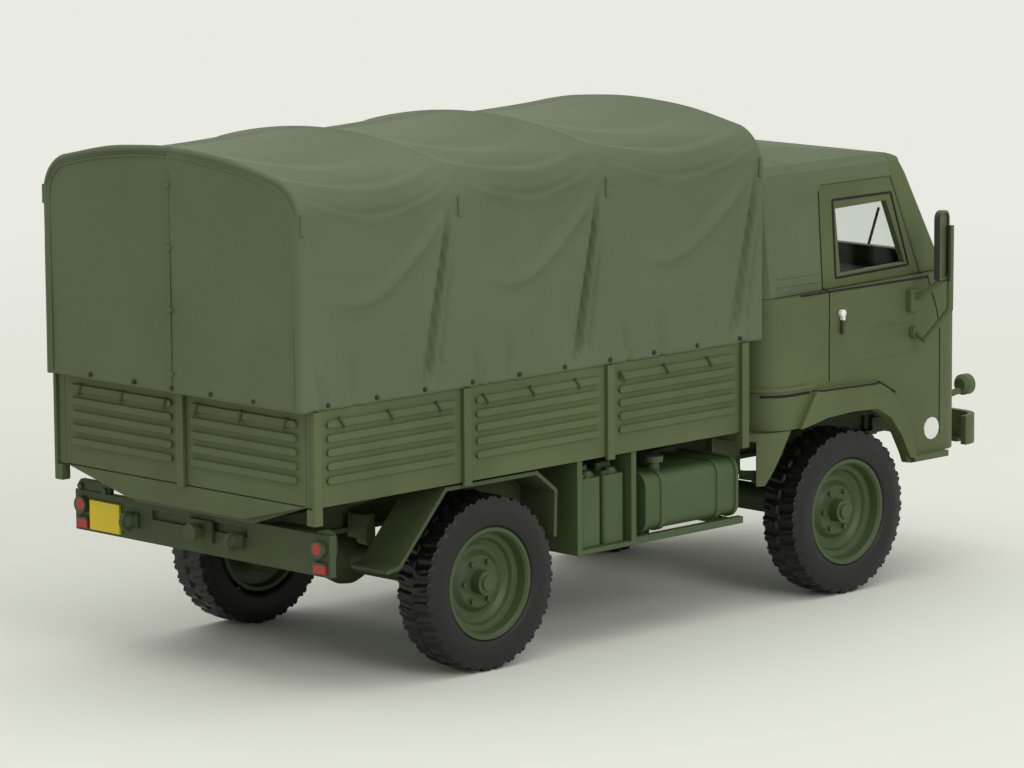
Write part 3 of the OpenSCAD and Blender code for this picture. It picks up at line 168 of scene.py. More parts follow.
sky_colour = (1.0, 1.0, 0.97)
sky_level = 0.56
world = bpy.data.worlds.new("studio")
bpy.context.scene.world = world
world.use_nodes = True
sky = world.node_tree
sky_light = sky.nodes["Background"]
sky_light.inputs["Color"].default_value = (*sky_colour, 1)
sky_light.inputs["Strength"].default_value = sky_level
sky_seen = add_node(sky, "ShaderNodeBackground", Color=(*backdrop_colour, 1), Strength=1.0)
sky_rays = add_node(sky, "ShaderNodeLightPath")
sky_seen_by = add_node(sky, "ShaderNodeMath")
sky_seen_by.operation = "MAXIMUM"
sky_seen_through = add_node(sky, "ShaderNodeMath")
sky_seen_through.operation = "MAXIMUM"
sky_mix = add_node(sky, "ShaderNodeMixShader")
sky.links.new(sky_rays.outputs["Is Camera Ray"], sky_seen_by.inputs[0])
sky.links.new(sky_rays.outputs["Is Glossy Ray"], sky_seen_by.inputs[1])
sky.links.new(sky_seen_by.outputs[0], sky_seen_through.inputs[0])
sky.links.new(sky_rays.outputs["Is Transmission Ray"], sky_seen_through.inputs[1])
sky.links.new(sky_seen_through.outputs[0], sky_mix.inputs["Fac"])
sky.links.new(sky_light.outputs[0], sky_mix.inputs[1])
sky.links.new(sky_seen.outputs[0], sky_mix.inputs[2])
sky.links.new(sky_mix.outputs[0], sky.nodes["World Output"].inputs["Surface"])


def soft_lamp(name, place, aim, size, power):
    """A square area lamp at a place, pointing at a point."""
    lamp_data = bpy.data.lights.new(name, "AREA")
    lamp_data.size = size
    lamp_data.energy = power
    lamp = bpy.data.objects.new(name, lamp_data)
    lamp.location = place
    lamp.rotation_euler = (Vector(aim) - Vector(place)).to_track_quat("-Z", "Y").to_euler()
    bpy.context.scene.collection.objects.link(lamp)


lamp_aim = (0, 0, 0.03)
soft_lamp("overhead_lamp", (-0.05, -0.02, 0.75), lamp_aim, size=0.9, power=2.9)
soft_lamp("side_lamp", (-0.16, -0.85, 0.44), lamp_aim, size=0.42, power=2.6)
bpy.context.scene.view_settings.view_transform = "Standard"


# Painted body
# The cab and the bed are diecast metal under a matt olive green, sprayed coat.
# The coat has a fine orange-peel grain and drifts a little in tone from place to place.
edge_radius = 0.00014
drift_scale = 70.0
grain_height = 0.00006


def matt_paint(name, colour, roughness=0.55, drift=0.12, grain=2600.0, grain_depth=0.12):
    """A sprayed matt coat: a slow drift of tone, a fine grain in its bump and its roughness."""
    material, tree, shader = new_material(name)
    place = add_node(tree, "ShaderNodeTexCoord")
    slow = add_node(tree, "ShaderNodeTexNoise", Scale=drift_scale, Detail=3.0, Roughness=0.55)
    fine = add_node(tree, "ShaderNodeTexNoise", Scale=grain, Detail=2.0, Roughness=0.6)
    tone = add_node(tree, "ShaderNodeValToRGB")
    tone.color_ramp.elements[0].position = 0.3
    tone.color_ramp.elements[1].position = 0.7
    tone.color_ramp.elements[0].color = (*(c * (1 - drift) for c in colour), 1)
    tone.color_ramp.elements[1].color = (*(min(1, c * (1 + drift)) for c in colour), 1)
    gloss = add_node(
        tree, "ShaderNodeMapRange",
        From_Min=0.3, From_Max=0.7, To_Min=roughness - 0.06, To_Max=roughness + 0.08,
    )
    bump = add_node(tree, "ShaderNodeBump", Strength=grain_depth, Distance=grain_height)
    rounding = add_node(tree, "ShaderNodeBevel", Radius=edge_radius)
    rounding.samples = 6
    tree.links.new(rounding.outputs["Normal"], bump.inputs["Normal"])
    for noise in (slow, fine):
        tree.links.new(place.outputs["Object"], noise.inputs["Vector"])
    tree.links.new(slow.outputs["Fac"], tone.inputs["Fac"])
    tree.links.new(tone.outputs["Color"], shader.inputs["Base Color"])
    tree.links.new(fine.outputs["Fac"], gloss.inputs["Value"])
    tree.links.new(gloss.outputs["Result"], shader.inputs["Roughness"])
    tree.links.new(fine.outputs["Fac"], bump.inputs["Height"])
    tree.links.new(bump.outputs["Normal"], shader.inputs["Normal"])
    shader.inputs["Specular IOR Level"].default_value = 0.35
    return material


def chain(tree, *links):
    """Joins output to input for each (node, output, node, input) of the list."""
    for source, output, target, socket in links:
        tree.links.new(source.outputs[output], target.inputs[socket])


def geometry_tree(name, *inputs):
    """A geometry tree with named inputs of (name, kind, value), and its input and output nodes."""
    tree = bpy.data.node_groups.new(name, "GeometryNodeTree")
    tree.interface.new_socket("Geometry", in_out="INPUT", socket_type="NodeSocketGeometry")
    tree.interface.new_socket("Geometry", in_out="OUTPUT", socket_type="NodeSocketGeometry")
    for label, kind, value in inputs:
        socket = tree.interface.new_socket(label, in_out="INPUT", socket_type="NodeSocket" + kind)
        if value is not None:
            socket.default_value = value
    return tree, tree.nodes.new("NodeGroupInput"), tree.nodes.new("NodeGroupOutput")


def set_inputs(modifier, **values):
    """Sets a geometry modifier's inputs by the identifiers of the sockets with these names."""
    for item in modifier.node_group.interface.items_tree:
        key = item.name.lower().replace(" ", "_")
        if item.in_out == "INPUT" and key in values:
            modifier[item.identifier] = values[key]


# Joins a CAD node's loose triangles and smooths its round faces between the sharp edges
smooth_tree, smooth_in, smooth_out = geometry_tree(
    "smooth_faces", ("Join Distance", "Float", 0.000002), ("Sharp Angle", "Float", math.radians(26))
)
smooth_join = smooth_tree.nodes.new("GeometryNodeMergeByDistance")
smooth_all = smooth_tree.nodes.new("GeometryNodeSetShadeSmooth")
smooth_angle = smooth_tree.nodes.new("GeometryNodeInputMeshEdgeAngle")
smooth_sharp = smooth_tree.nodes.new("FunctionNodeCompare")
smooth_sharp.operation = "GREATER_THAN"
smooth_edges = smooth_tree.nodes.new("GeometryNodeSetShadeSmooth")
smooth_edges.domain = "EDGE"
smooth_edges.inputs["Shade Smooth"].default_value = False
chain(
    smooth_tree,
    (smooth_in, "Geometry", smooth_join, "Geometry"), (smooth_in, "Join Distance", smooth_join, "Distance"),
    (smooth_join, "Geometry", smooth_all, "Geometry"), (smooth_all, "Geometry", smooth_edges, "Geometry"),
    (smooth_angle, "Unsigned Angle", smooth_sharp, "A"), (smooth_in, "Sharp Angle", smooth_sharp, "B"),
    (smooth_sharp, "Result", smooth_edges, "Selection"), (smooth_edges, "Geometry", smooth_out, "Geometry"),
)


def finish_nodes(material, *names):
    """Gives CAD nodes their material and smooths their round faces."""
    for name in names:
        mesh = nodes[name].data
        mesh.materials.clear()
        mesh.materials.append(material)
        smoothing = nodes[name].modifiers.new("smooth_faces", "NODES")
        smoothing.node_group = smooth_tree


body_green = srgb(78, 91, 56)
body_paint = matt_paint("body_paint", body_green)
finish_nodes(
    body_paint, "cab_body", "cab_skirts", "door_frames", "windscreen_frame", "grille", "headlamps",
    "marker_lamps", "front_bumper", "side_panel_right", "side_panel_left", "tail_panel", "head_panel",
    "bed_posts", "cargo_floor",
)

# Chassis and underside
# The frame, axles, springs and drive are moulded plastic, a shade deeper than the paint. The cans
# and tanks stand in racks beside the frame and are a slightly greener plastic.
chassis_green = srgb(60, 73, 44)
chassis_plastic = matt_paint("chassis_plastic", chassis_green, roughness=0.6, drift=0.08)
finish_nodes(
    chassis_plastic, "chassis_frame", "front_axle_housing", "rear_axle_housing", "leaf_springs", "drivetrain",
    "exhaust", "rear_mudguards", "rear_bar", "tow_hooks", "hitch",
)
gear_plastic = matt_paint("gear_plastic", srgb(66, 83, 51), roughness=0.5, drift=0.08)
finish_nodes(gear_plastic, "can_racks", "jerrycans", "fuel_tanks", "tank_rails")

# Trim
# Black moulded plastic with little gloss: the inside of the cab with its steering wheel, and the
# wipers on the windscreen. The same black is painted shade in the holes of the cover's eyelets.
trim_plastic = matt_paint("trim_plastic", srgb(38, 39, 37), roughness=0.6, drift=0.1)
finish_nodes(trim_plastic, "cab_interior", "steering_wheel", "wipers")

# Soft top of the cab
# A separate moulding that stands for a cloth roof, in the cover's green. It has a fine grain like
# cloth, and soft upright folds down to its hem.
fold_scale = 240.0
fold_height = 0.0009
fold_drawn_out = (1.0, 1.0, 0.12)
cloth_green = srgb(85, 98, 70)
cab_cloth = matt_paint("cab_cloth", cloth_green, roughness=0.62, drift=0.08, grain=1800.0, grain_depth=0.2)
# The folds go in between the paint's eased edges and its grain
cab_folds = cab_cloth.node_tree
fold_place = add_node(cab_folds, "ShaderNodeTexCoord")
fold_stretch = add_node(cab_folds, "ShaderNodeMapping", Scale=fold_drawn_out)
fold_shape = add_node(cab_folds, "ShaderNodeTexNoise", Scale=fold_scale, Detail=1.0, Roughness=0.4)
fold_bump = add_node(cab_folds, "ShaderNodeBump", Strength=0.45, Distance=fold_height)
cab_shader = cab_folds.nodes["Principled BSDF"]
cab_grain = cab_shader.inputs["Normal"].links[0].from_node
cab_edge = cab_grain.inputs["Normal"].links[0].from_socket
cab_folds.links.new(cab_edge, fold_bump.inputs["Normal"])
chain(
    cab_folds,
    (fold_place, "Object", fold_stretch, "Vector"), (fold_stretch, "Vector", fold_shape, "Vector"),
    (fold_shape, "Fac", fold_bump, "Height"), (fold_bump, "Normal", cab_grain, "Normal"),
)
finish_nodes(cab_cloth, "cab_top")

# Glazing
# One clear moulded insert that goes up into the cab, so that every window is part of one piece
# behind its opening.
glazing_material, _, glazing_shader = new_material("clear_plastic")
glazing_shader.inputs["Base Color"].default_value = (0.93, 0.96, 0.96, 1)
glazing_shader.inputs["Roughness"].default_value = 0.03
glazing_shader.inputs["IOR"].default_value = 1.2
glazing_shader.inputs["Transmission Weight"].default_value = 1.0
finish_nodes(glazing_material, "cab_glazing")

# Bright and lacquered parts
# Plain steel pins pressed into the wheels, and small pieces touched in by hand: silver tops on the
# door handles, red lenses, dark mirror faces and a bare yellow plate.
steel_material, _, steel_shader = new_material("plain_steel")
steel_shader.inputs["Base Color"].default_value = (0.55, 0.55, 0.54, 1)
steel_shader.inputs["Metallic"].default_value = 1.0
steel_shader.inputs["Roughness"].default_value = 0.3
finish_nodes(steel_material, "front_axle_pin", "rear_axle_pin")


def masked(tree, value, above, bound):
    """1 where a coordinate is above a bound, or below it, and 0 elsewhere."""
    test = tree.nodes.new("ShaderNodeMath")
    test.operation = "GREATER_THAN" if above else "LESS_THAN"
    tree.links.new(value, test.inputs[0])
    test.inputs[1].default_value = bound
    return test.outputs[0]


def together(tree, operation, first, second):
    """One mask from two, by an operation of the Math node."""
    both = tree.nodes.new("ShaderNodeMath")
    both.operation = operation
    tree.links.new(first, both.inputs[0])
    tree.links.new(second, both.inputs[1])
    return both.outputs[0]


def second_tone(material, colour, mask_of):
    """Paints a second colour over a matt paint where the mask of the object's coordinates says."""
    tree = material.node_tree
    shader = tree.nodes["Principled BSDF"]
    place = add_node(tree, "ShaderNodeTexCoord")
    split = add_node(tree, "ShaderNodeSeparateXYZ")
    tree.links.new(place.outputs["Object"], split.inputs[0])
    mix = tree.nodes.new("ShaderNodeMix")
    mix.data_type = "RGBA"
    tree.links.new(shader.inputs["Base Color"].links[0].from_socket, mix.inputs["A"])
    mix.inputs["B"].default_value = (*colour, 1)
    tree.links.new(mask_of(tree, split, place), mix.inputs["Factor"])
    tree.links.new(mix.outputs["Result"], shader.inputs["Base Color"])


handle_top = 37.5 * MM
bright_silver = (0.8, 0.8, 0.79)


def handle_mask(tree, at, place):
    """The upper side of each handle."""
    return masked(tree, at.outputs["Z"], True, handle_top)


handle_paint = matt_paint("handle_paint", srgb(60, 70, 44), roughness=0.3, grain_depth=0.05)
second_tone(handle_paint, bright_silver, handle_mask)
finish_nodes(handle_paint, "door_handles")

# Each round lamp is a green housing with a red lens in its middle, over a red reflector
lamps_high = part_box("rear_lamps")[1]
housing_r = 1.45 * MM
lens_r = 0.75 * MM
lens_out = 0.3 * MM
lens_up = 0.45 * MM
reflector_top = lamps_high.z - 2.1 * housing_r


def lens_mask(tree, at, place):
    """A round lens on each side of the truck, and all that is lower than the lamps."""
    width = tree.nodes.new("ShaderNodeMath")
    width.operation = "ABSOLUTE"
    tree.links.new(at.outputs["Y"], width.inputs[0])
    flat = add_node(tree, "ShaderNodeCombineXYZ")
    tree.links.new(width.outputs[0], flat.inputs["Y"])
    tree.links.new(at.outputs["Z"], flat.inputs["Z"])
    away = add_node(tree, "ShaderNodeVectorMath")
    away.operation = "DISTANCE"
    tree.links.new(flat.outputs[0], away.inputs[0])
    lens_centre = (0, lamps_high.y - housing_r + lens_out, lamps_high.z - housing_r + lens_up)
    away.inputs[1].default_value = lens_centre
    lens = masked(tree, away.outputs["Value"], False, lens_r)
    return together(tree, "MAXIMUM", lens, masked(tree, at.outputs["Z"], False, reflector_top))


lamp_paint = matt_paint("lamp_paint", chassis_green, roughness=0.35, grain_depth=0.05)
second_tone(lamp_paint, srgb(166, 52, 46), lens_mask)
finish_nodes(lamp_paint, "rear_lamps")

# The mirror plates are dark on the side that looks to the rear
plate_foot = 41.5 * MM


def mirror_mask(tree, at, place):
    """The faces of the mirror plates that look to the rear, above the tubes' feet."""
    facing = add_node(tree, "ShaderNodeSeparateXYZ")
    tree.links.new(place.outputs["Normal"], facing.inputs[0])
    rearward = masked(tree, facing.outputs["X"], False, -0.5)
    return together(tree, "MULTIPLY", rearward, masked(tree, at.outputs["Z"], True, plate_foot))


mirror_paint = matt_paint("mirror_paint", body_green)
second_tone(mirror_paint, srgb(46, 50, 42), mirror_mask)
finish_nodes(mirror_paint, "mirrors")
plate_yellow = matt_paint("plate_yellow", srgb(214, 190, 30), roughness=0.4, drift=0.05, grain_depth=0.05)
finish_nodes(plate_yellow, "number_plate")

# Rims
# Stepped and dished diecast wheels with their nuts cast round the hub, in a satin green. They are
# pressed on the ends of the steel pins.
rim_paint = matt_paint("rim_paint", srgb(63, 78, 48), roughness=0.42, drift=0.08)
finish_nodes(rim_paint, "rim_front_right", "rim_front_left", "rim_rear_right", "rim_rear_left")

# Tyres
# Soft black plastic with smooth charcoal walls. Two rows of small block lugs stand round the
# crown only, each lug beside a gap of the other row, with a notch in its middle.
tyre_rubber = matt_paint("tyre_rubber", srgb(23, 23, 24), roughness=0.5, drift=0.1, grain=3000.0)
tread_rubber = matt_paint(
    "tread_rubber", srgb(17, 17, 18), roughness=0.36, drift=0.3, grain=1500.0, grain_depth=0.5
)
lug_count = 32
steps_per_lug = 12
lug_depth = 0.34
lug_lean = 0.16
notch_depth = 0.3
crown_points = 37
crown_share = 0.885
crown_drop = 0.12
tread_reach = 0.7
bead_clearance = 0.01


def bump(v, centre, width):
    """A smooth rise to 1 at the centre that is gone within about twice the width."""
    return np.exp(-(((v - centre) / width) ** 2))


def ease(v, start, end):
    """0 up to the start, 1 from the end on, and a smooth step between."""
    s = np.clip((v - start) / (end - start), 0, 1)
    return s * s * (3 - 2 * s)


def grid_faces(rows, columns, first=0, round_rows=False, round_columns=False):
    """Quads of a grid of points numbered row by row."""
    row = np.arange(rows if round_rows else rows - 1)
    column = np.arange(columns if round_columns else columns - 1)
    r, c = np.meshgrid(row, column, indexing="ij")
    r1, c1 = (r + 1) % rows, (c + 1) % columns
    quads = np.stack([r * columns + c, r1 * columns + c, r1 * columns + c1, r * columns + c1], -1)
    return quads.reshape(-1, 4) + first


def mesh_of(name, points, faces, smooth=True):
    """A mesh from points in millimetres, with its faces turned outwards."""
    if isinstance(faces, np.ndarray):
        faces = faces.tolist()
    mesh = bpy.data.meshes.new(name)
    mesh.from_pydata(np.asarray(points) * MM, [], faces)
    work = bmesh.new()
    work.from_mesh(mesh)
    bmesh.ops.remove_doubles(work, verts=work.verts, dist=1e-7)
    bmesh.ops.recalc_face_normals(work, faces=work.faces)
    for face in work.faces:
        face.smooth = smooth
    work.to_mesh(mesh)
    work.free()
    return mesh


def tyre_points(half_w, outer_r, bead_r):
    """Rings of a tyre's section, turned round its axle: bead, wall, shoulder, tread, and back."""
    # Radius, and distance from the middle as a share of half the width
    wall = np.array([
        (bead_r, 0.76), (bead_r + 0.12, 0.90), (bead_r + 0.4, 0.955), (bead_r + 0.9, 0.97),
        (bead_r + 1.5, 0.995), (bead_r + 2.1, 1.0), (outer_r - 1.6, 0.985), (outer_r - 1.25, 0.965),
        (outer_r - 1.0, 0.94), (outer_r - 0.8, 0.925), (outer_r - 0.62, 0.915), (outer_r - 0.45, 0.905),
        (outer_r - 0.28, 0.895),
    ])
    across = np.linspace(crown_share, -crown_share, crown_points)
    crown = np.stack([outer_r - crown_drop * np.abs(across) ** 2.5, across], -1)
    section = np.concatenate([wall, crown, wall[::-1] * (1, -1)])
    count = lug_count * steps_per_lug
    turn = np.arange(count) / count * 2 * np.pi
    radius = np.tile(section[:, 0], (len(turn), 1))
    share = np.tile(section[:, 1], (len(turn), 1))
    along = turn[:, None] / (2 * np.pi) * lug_count
    # Each row's lugs lean a little, so that the bars meet the middle at an angle
    row = np.where(share > 0, 0.0, 0.5)
    phase = (along + row + lug_lean * np.abs(share)) % 1
    lug = ease(phase, 0.0, 0.10) * (1 - ease(phase, 0.60, 0.70))
    lug *= ease(np.abs(share), 0.03, 0.10)
    notch = bump(phase, 0.30, 0.045) * ease(np.abs(share), 0.35, 0.5)
    tread = ease(radius, outer_r - 0.8, outer_r - 0.4)
    radius = radius - tread * lug_depth * (1 - lug) - tread * notch_depth * notch * lug
    return turn, radius, share * half_w


def tyre(name, low, high, bead_r):
    """A tyre that fills the box from low to high, with smooth walls and a rougher tread."""
    middle = (low + high) / 2 / MM
    size = (high - low) / MM
    turn, radius, across = tyre_points(size.y / 2, size.z / 2, bead_r)
    x = middle.x + radius * np.cos(turn)[:, None]
    z = middle.z + radius * np.sin(turn)[:, None]
    rows, columns = radius.shape
    points = np.stack([x, middle.y + across, z], -1).reshape(-1, 3)
    mesh = mesh_of(name, points, grid_faces(rows, columns, round_rows=True, round_columns=True))
    mesh.materials.append(tyre_rubber)
    mesh.materials.append(tread_rubber)
    centre = Vector((middle.x, middle.y, middle.z)) * MM
    for face in mesh.polygons:
        away = face.center - centre
        if math.hypot(away.x, away.z) > (size.z / 2 - tread_reach) * MM:
            face.material_index = 1
    return new_piece(name, mesh)


for end, body in (("front", "front_wheels"), ("rear", "rear_wheels")):
    for hand in ("right", "left"):
        node = f"tyre_{end}_{hand}"
        rim_low, rim_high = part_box(f"rim_{end}_{hand}")
        piece = tyre(f"{node}_treaded", *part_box(node), (rim_high.z - rim_low.z) / 2 / MM + bead_clearance)
        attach(piece, body)
        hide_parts(node)

# Tarp
# A moulded cover over four hoops. The roof sags between them, and each side hangs in a long
# smile-shaped fold, a deep bundle of folds behind the next hoop, and short pleats at the hem.
tarp_cloth = matt_paint("tarp_cloth", cloth_green, roughness=0.62, drift=0.06, grain=2200.0, grain_depth=0.15)
tarp_low, tarp_high = (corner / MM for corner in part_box("tarp"))
tarp_len = tarp_high.x - tarp_low.x
hoops_from_tail = (0.0, 26.7, 52.8, tarp_len)
eave_below_top = 7.9
shoulder_r = 5.6
tarp_wall = 0.5
tarp_corner_r = 0.8
curtain_sunk = 0.14
roof_sag = 1.15
hem_slack = 0.45
tarp_half_w = tarp_high.y
shoulder_y = tarp_half_w - shoulder_r
eave_z = tarp_high.z - eave_below_top
# The roof's arc runs into the shoulder's without a kink
roof_r = (shoulder_y**2 + eave_below_top**2 - shoulder_r**2) / (2 * (eave_below_top - shoulder_r))
meeting_angle = math.asin(shoulder_y / (roof_r - shoulder_r))
# What differs from bay to bay: how deep the bundle of folds is, and how far ahead it stands
bundle_strength = (0.95, 1.1, 0.9)
bundle_ahead = (0.0, 0.005, 0.015)
# Folds of the bundle: depth, place and its shift at the foot, width and what the foot adds to it
bundle_folds = (
    (1.7, 0.0, 0.0, 0.010, 0.022),
    (-0.34, -0.034, -0.03, 0.018, 0.0),
    (-0.3, 0.028, 0.016, 0.011, 0.0),
    (-0.2, 0.072, 0.02, 0.012, 0.0),
)
# Pleats at the hem: depth, place, lean, width, and the heights where it starts to fade and ends
hem_pleats = (
    (0.34, 0.135, 0.18, 0.014, 0.12, 0.3),
    (-0.16, 0.165, 0.18, 0.012, 0.12, 0.3),
    (0.24, 0.185, 0.2, 0.009, 0.06, 0.24),
    (0.36, 0.345, 0.07, 0.017, 0.2, 0.38),
    (-0.16, 0.38, 0.07, 0.014, 0.2, 0.38),
)
# Creases over the shoulder and the roof: height at the hoops, drop between them, width and depth
hanging_creases = ((1.48, 0.50, 0.05, 0.30), (1.95, 0.50, 0.13, 0.42), (2.50, 0.42, 0.16, 0.42))


def section_base(q):
    """Place and outward direction at q: 0 hem, 1 eave, 2 end of the shoulder, 3 middle of the roof."""
    wall = np.clip(q, 0, 1)
    turn = np.clip(q - 1, 0, 1) * (math.pi / 2 - meeting_angle)
    lean = np.where(q > 2, meeting_angle * (3 - q), meeting_angle)
    on_roof = q > 2
    y = np.where(on_roof, roof_r * np.sin(lean), shoulder_y + shoulder_r * np.cos(turn))
    z = np.where(
        on_roof, tarp_high.z - roof_r + roof_r * np.cos(lean),
        np.where(q > 1, eave_z + shoulder_r * np.sin(turn), tarp_low.z + (eave_z - tarp_low.z) * wall),
    )
    normal_y = np.where(on_roof, np.sin(lean), np.cos(turn))
    normal_z = np.where(on_roof, np.cos(lean), np.sin(turn))
    return y, z, normal_y, normal_z


def draped_crease(t, q, at_hoop, drop, width, depth):
    """A crease that hangs from hoop to hoop: a crest with a hollow on its upper side."""
    away = q - (at_hoop - drop * 4 * t * (1 - t))
    body = np.sin(np.pi * t) ** 0.8
    return depth * body * (0.8 * bump(away, 1.5 * width, width) - bump(away, 0, width))


def cloth_depth(t, q, bay):
    """How far the cloth lies inside its base, at share t of the bay and height q."""
    slack = np.sin(np.pi * t) ** 0.7
    # The smile hangs lowest a little behind the middle of the bay and climbs steeply forwards
    smile = 0.54 + 0.33 * np.clip((t - 0.38) / 0.45, 0, None) ** 1.6
    smile += 0.1 * np.clip((0.38 - t) / 0.3, 0, None) ** 2
    along_smile = ease(t, 0.15, 0.5) * (1 - ease(t, 0.82, 0.93))
    wall = 1 - ease(q, 0.95, 1.3)
    depth = 0.35 * slack * ease(q, -0.1, 0.3) * wall
    depth += 0.42 * slack * ease(q, smile, smile + 0.11) * (1 - ease(q, 0.75, 1.15))
    depth -= 0.62 * along_smile * bump(q, smile, 0.028) * wall
    depth += 0.16 * along_smile * bump(q, smile - 0.1, 0.06) * wall
    # The bundle behind the next hoop, wide at its foot and narrow at its top
    bundle = t - (0.79 + 0.155 * q + np.choose(bay, bundle_ahead))
    foot = np.clip(1 - q, 0, 1)
    upright = ease(q, 0.0, 0.16) * (1 - ease(q, 0.74, 1.02)) * np.choose(bay, bundle_strength)
    for deep, place, foot_place, wide, foot_wide in bundle_folds:
        depth += deep * bump(bundle, place + foot_place * foot, wide + foot_wide * foot) * upright
    # A hollow ahead of the bundle that ends below the eave
    depth += 0.45 * bump(bundle, 0.05 + 0.02 * foot, 0.01) * upright * (1 - ease(q, 0.5, 0.75))
    # The pleats at the hem and the creases that hang from hoop to hoop
    for deep, place, lean, wide, fading, gone in hem_pleats:
        depth += deep * bump(t, place - lean * q, wide) * (1 - ease(q, fading, gone))
    for at_hoop, drop, wide, deep in hanging_creases:
        depth += draped_crease(t, q, at_hoop, drop, wide, deep)
    # The sag of the roof between its hoops
    depth += roof_sag * slack * ease(q, 0.95, 2.4)
    return depth


wall_rows, shoulder_rows, roof_rows = 56, 24, 26
right_q = np.concatenate([
    np.linspace(0, 1, wall_rows, endpoint=False), np.linspace(1, 2, shoulder_rows, endpoint=False),
    np.linspace(2, 3, roof_rows + 1),
])
section_q = np.concatenate([right_q, right_q[-2::-1]])
section_side = np.concatenate([-np.ones(len(right_q)), np.ones(len(right_q) - 1)])
tarp_x, tarp_t, tarp_bay = [], [], []
bay_stations = 48
hoop_crowding = 0.06
bays = list(zip(hoops_from_tail, hoops_from_tail[1:]))
for bay, (start, end) in enumerate(bays):
    shares = np.linspace(0, 1, bay_stations, endpoint=bay == len(bays) - 1)
    shares = shares - hoop_crowding * np.sin(2 * np.pi * shares)
    tarp_x.append(start + (end - start) * shares)
    tarp_t.append(shares)
    tarp_bay.append(np.full(len(shares), bay))
tarp_x, tarp_t, tarp_bay = np.concatenate(tarp_x), np.concatenate(tarp_t), np.concatenate(tarp_bay)
from_end = np.minimum(tarp_x, tarp_len - tarp_x)
past_corner = np.clip(tarp_corner_r - from_end, 0, None)
corner_in = tarp_corner_r - np.sqrt(np.clip(tarp_corner_r**2 - past_corner**2, 0, None))
base_y, base_z, normal_y, normal_z = section_base(section_q)
inward = cloth_depth(tarp_t[:, None], section_q[None, :], tarp_bay[:, None]) + corner_in[:, None]
inward = np.where(section_q[None, :] < 0.02, np.minimum(inward, hem_slack + corner_in[:, None]), inward)
skin_y = (base_y[None, :] - normal_y[None, :] * inward) * section_side[None, :]
skin_z = base_z[None, :] - normal_z[None, :] * inward
skin_z = np.where(section_q[None, :] <= 0, tarp_low.z, skin_z)
skin_x = np.broadcast_to((tarp_low.x + tarp_x)[:, None], skin_y.shape)
tarp_points = [np.stack([skin_x, skin_y, skin_z], -1).reshape(-1, 3)]
stations, around = skin_y.shape
tarp_faces = [grid_faces(stations, around)]


def end_wall(station, columns, relief):
    """Fills an end of the cover from side to side, row by row, with a relief along its length."""
    half = around // 2
    first = sum(len(p) for p in tarp_points)
    left, right = skin_y[station, ::-1][:half], skin_y[station, :half]
    height = skin_z[station, :half]
    share = np.linspace(0, 1, columns + 1)
    y = right[:, None] + (left - right)[:, None] * share[None, :]
    z = np.broadcast_to(height[:, None], y.shape)
    x = skin_x[station, :half][:, None] + relief(y, z)
    tarp_points.append(np.stack([x, y, z], -1).reshape(-1, 3))
    tarp_faces.append(grid_faces(half, columns + 1, first))
    top = len(section_q) // 2
    apex = first + half * (columns + 1)
    tarp_points.append(np.array([[skin_x[station, top], skin_y[station, top], skin_z[station, top]]]))
    last = first + (half - 1) * (columns + 1)
    tarp_faces.append([(last + c, last + c + 1, apex) for c in range(columns)])


def tail_relief(y, z):
    """The curtain's two halves: a lap down the middle and slack, slanting creases in each."""
    edge = np.minimum(tarp_half_w - 0.9 - np.abs(y), 4.0)
    inside = ease(edge, 0.0, 0.5)
    height = (z - tarp_low.z) / (tarp_high.z - tarp_low.z)
    lap = 0.16 * ease(y, -0.25, -0.12) - 0.05
    slant = np.sin(0.33 * np.abs(y) + 5.2 * height) * np.sin(2.4 * height + 0.4) * 0.16
    swell = 0.22 * bump(np.abs(y), 17.5 - 7 * height, 3.2) * bump(height, 0.38, 0.26)
    return inside * (curtain_sunk + lap + slant * 0.6 - swell)


def front_relief(y, z):
    """The end behind the cab lies a little inside its rim."""
    return -0.25 * ease(tarp_half_w - 1.2 - np.abs(y), 0, 1.5)


curtain_columns = 72
front_columns = 30
end_wall(0, curtain_columns, tail_relief)
end_wall(stations - 1, front_columns, front_relief)
all_faces = [face for group in tarp_faces for face in np.asarray(group).tolist()]
tarp_mesh = mesh_of("draped_tarp", np.concatenate(tarp_points), all_faces)
tarp_mesh.materials.append(tarp_cloth)
draped_tarp = new_piece("draped_tarp", tarp_mesh)
thicken = draped_tarp.modifiers.new("wall", "SOLIDIFY")
thicken.thickness = tarp_wall * MM
thicken.offset = -1
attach(draped_tarp, "truck")
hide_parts("tarp")

# Seams and pegs
# What runs along the cover and the cab in a line, and the small hardware that stands in rows.
# Each is laid on what carries it, found by a ray from outside or from the cover's own points.
line_sides = 8
peg_sides = 12
laid_step = 0.4
ray_from_y = 60.0
least_side_y = 19.0
axle_mm = rear_axle_x / MM
lines_tree, lines_in, lines_out = geometry_tree(
    "laid_line", ("Radius", "Float", 0.0001), ("Finish", "Material", None)
)
lines_curve = lines_tree.nodes.new("GeometryNodeMeshToCurve")
lines_round = lines_tree.nodes.new("GeometryNodeCurvePrimitiveCircle")
lines_round.inputs["Resolution"].default_value = line_sides
lines_body = lines_tree.nodes.new("GeometryNodeCurveToMesh")
lines_body.inputs["Fill Caps"].default_value = True
lines_real = lines_tree.nodes.new("GeometryNodeRealizeInstances")
lines_finish = lines_tree.nodes.new("GeometryNodeSetMaterial")
chain(
    lines_tree,
    (lines_in, "Geometry", lines_curve, "Mesh"), (lines_in, "Radius", lines_round, "Radius"),
    (lines_curve, "Curve", lines_body, "Curve"), (lines_round, "Curve", lines_body, "Profile Curve"),
    (lines_body, "Mesh", lines_real, "Geometry"), (lines_real, "Geometry", lines_finish, "Geometry"),
    (lines_in, "Finish", lines_finish, "Material"), (lines_finish, "Geometry", lines_out, "Geometry"),
)
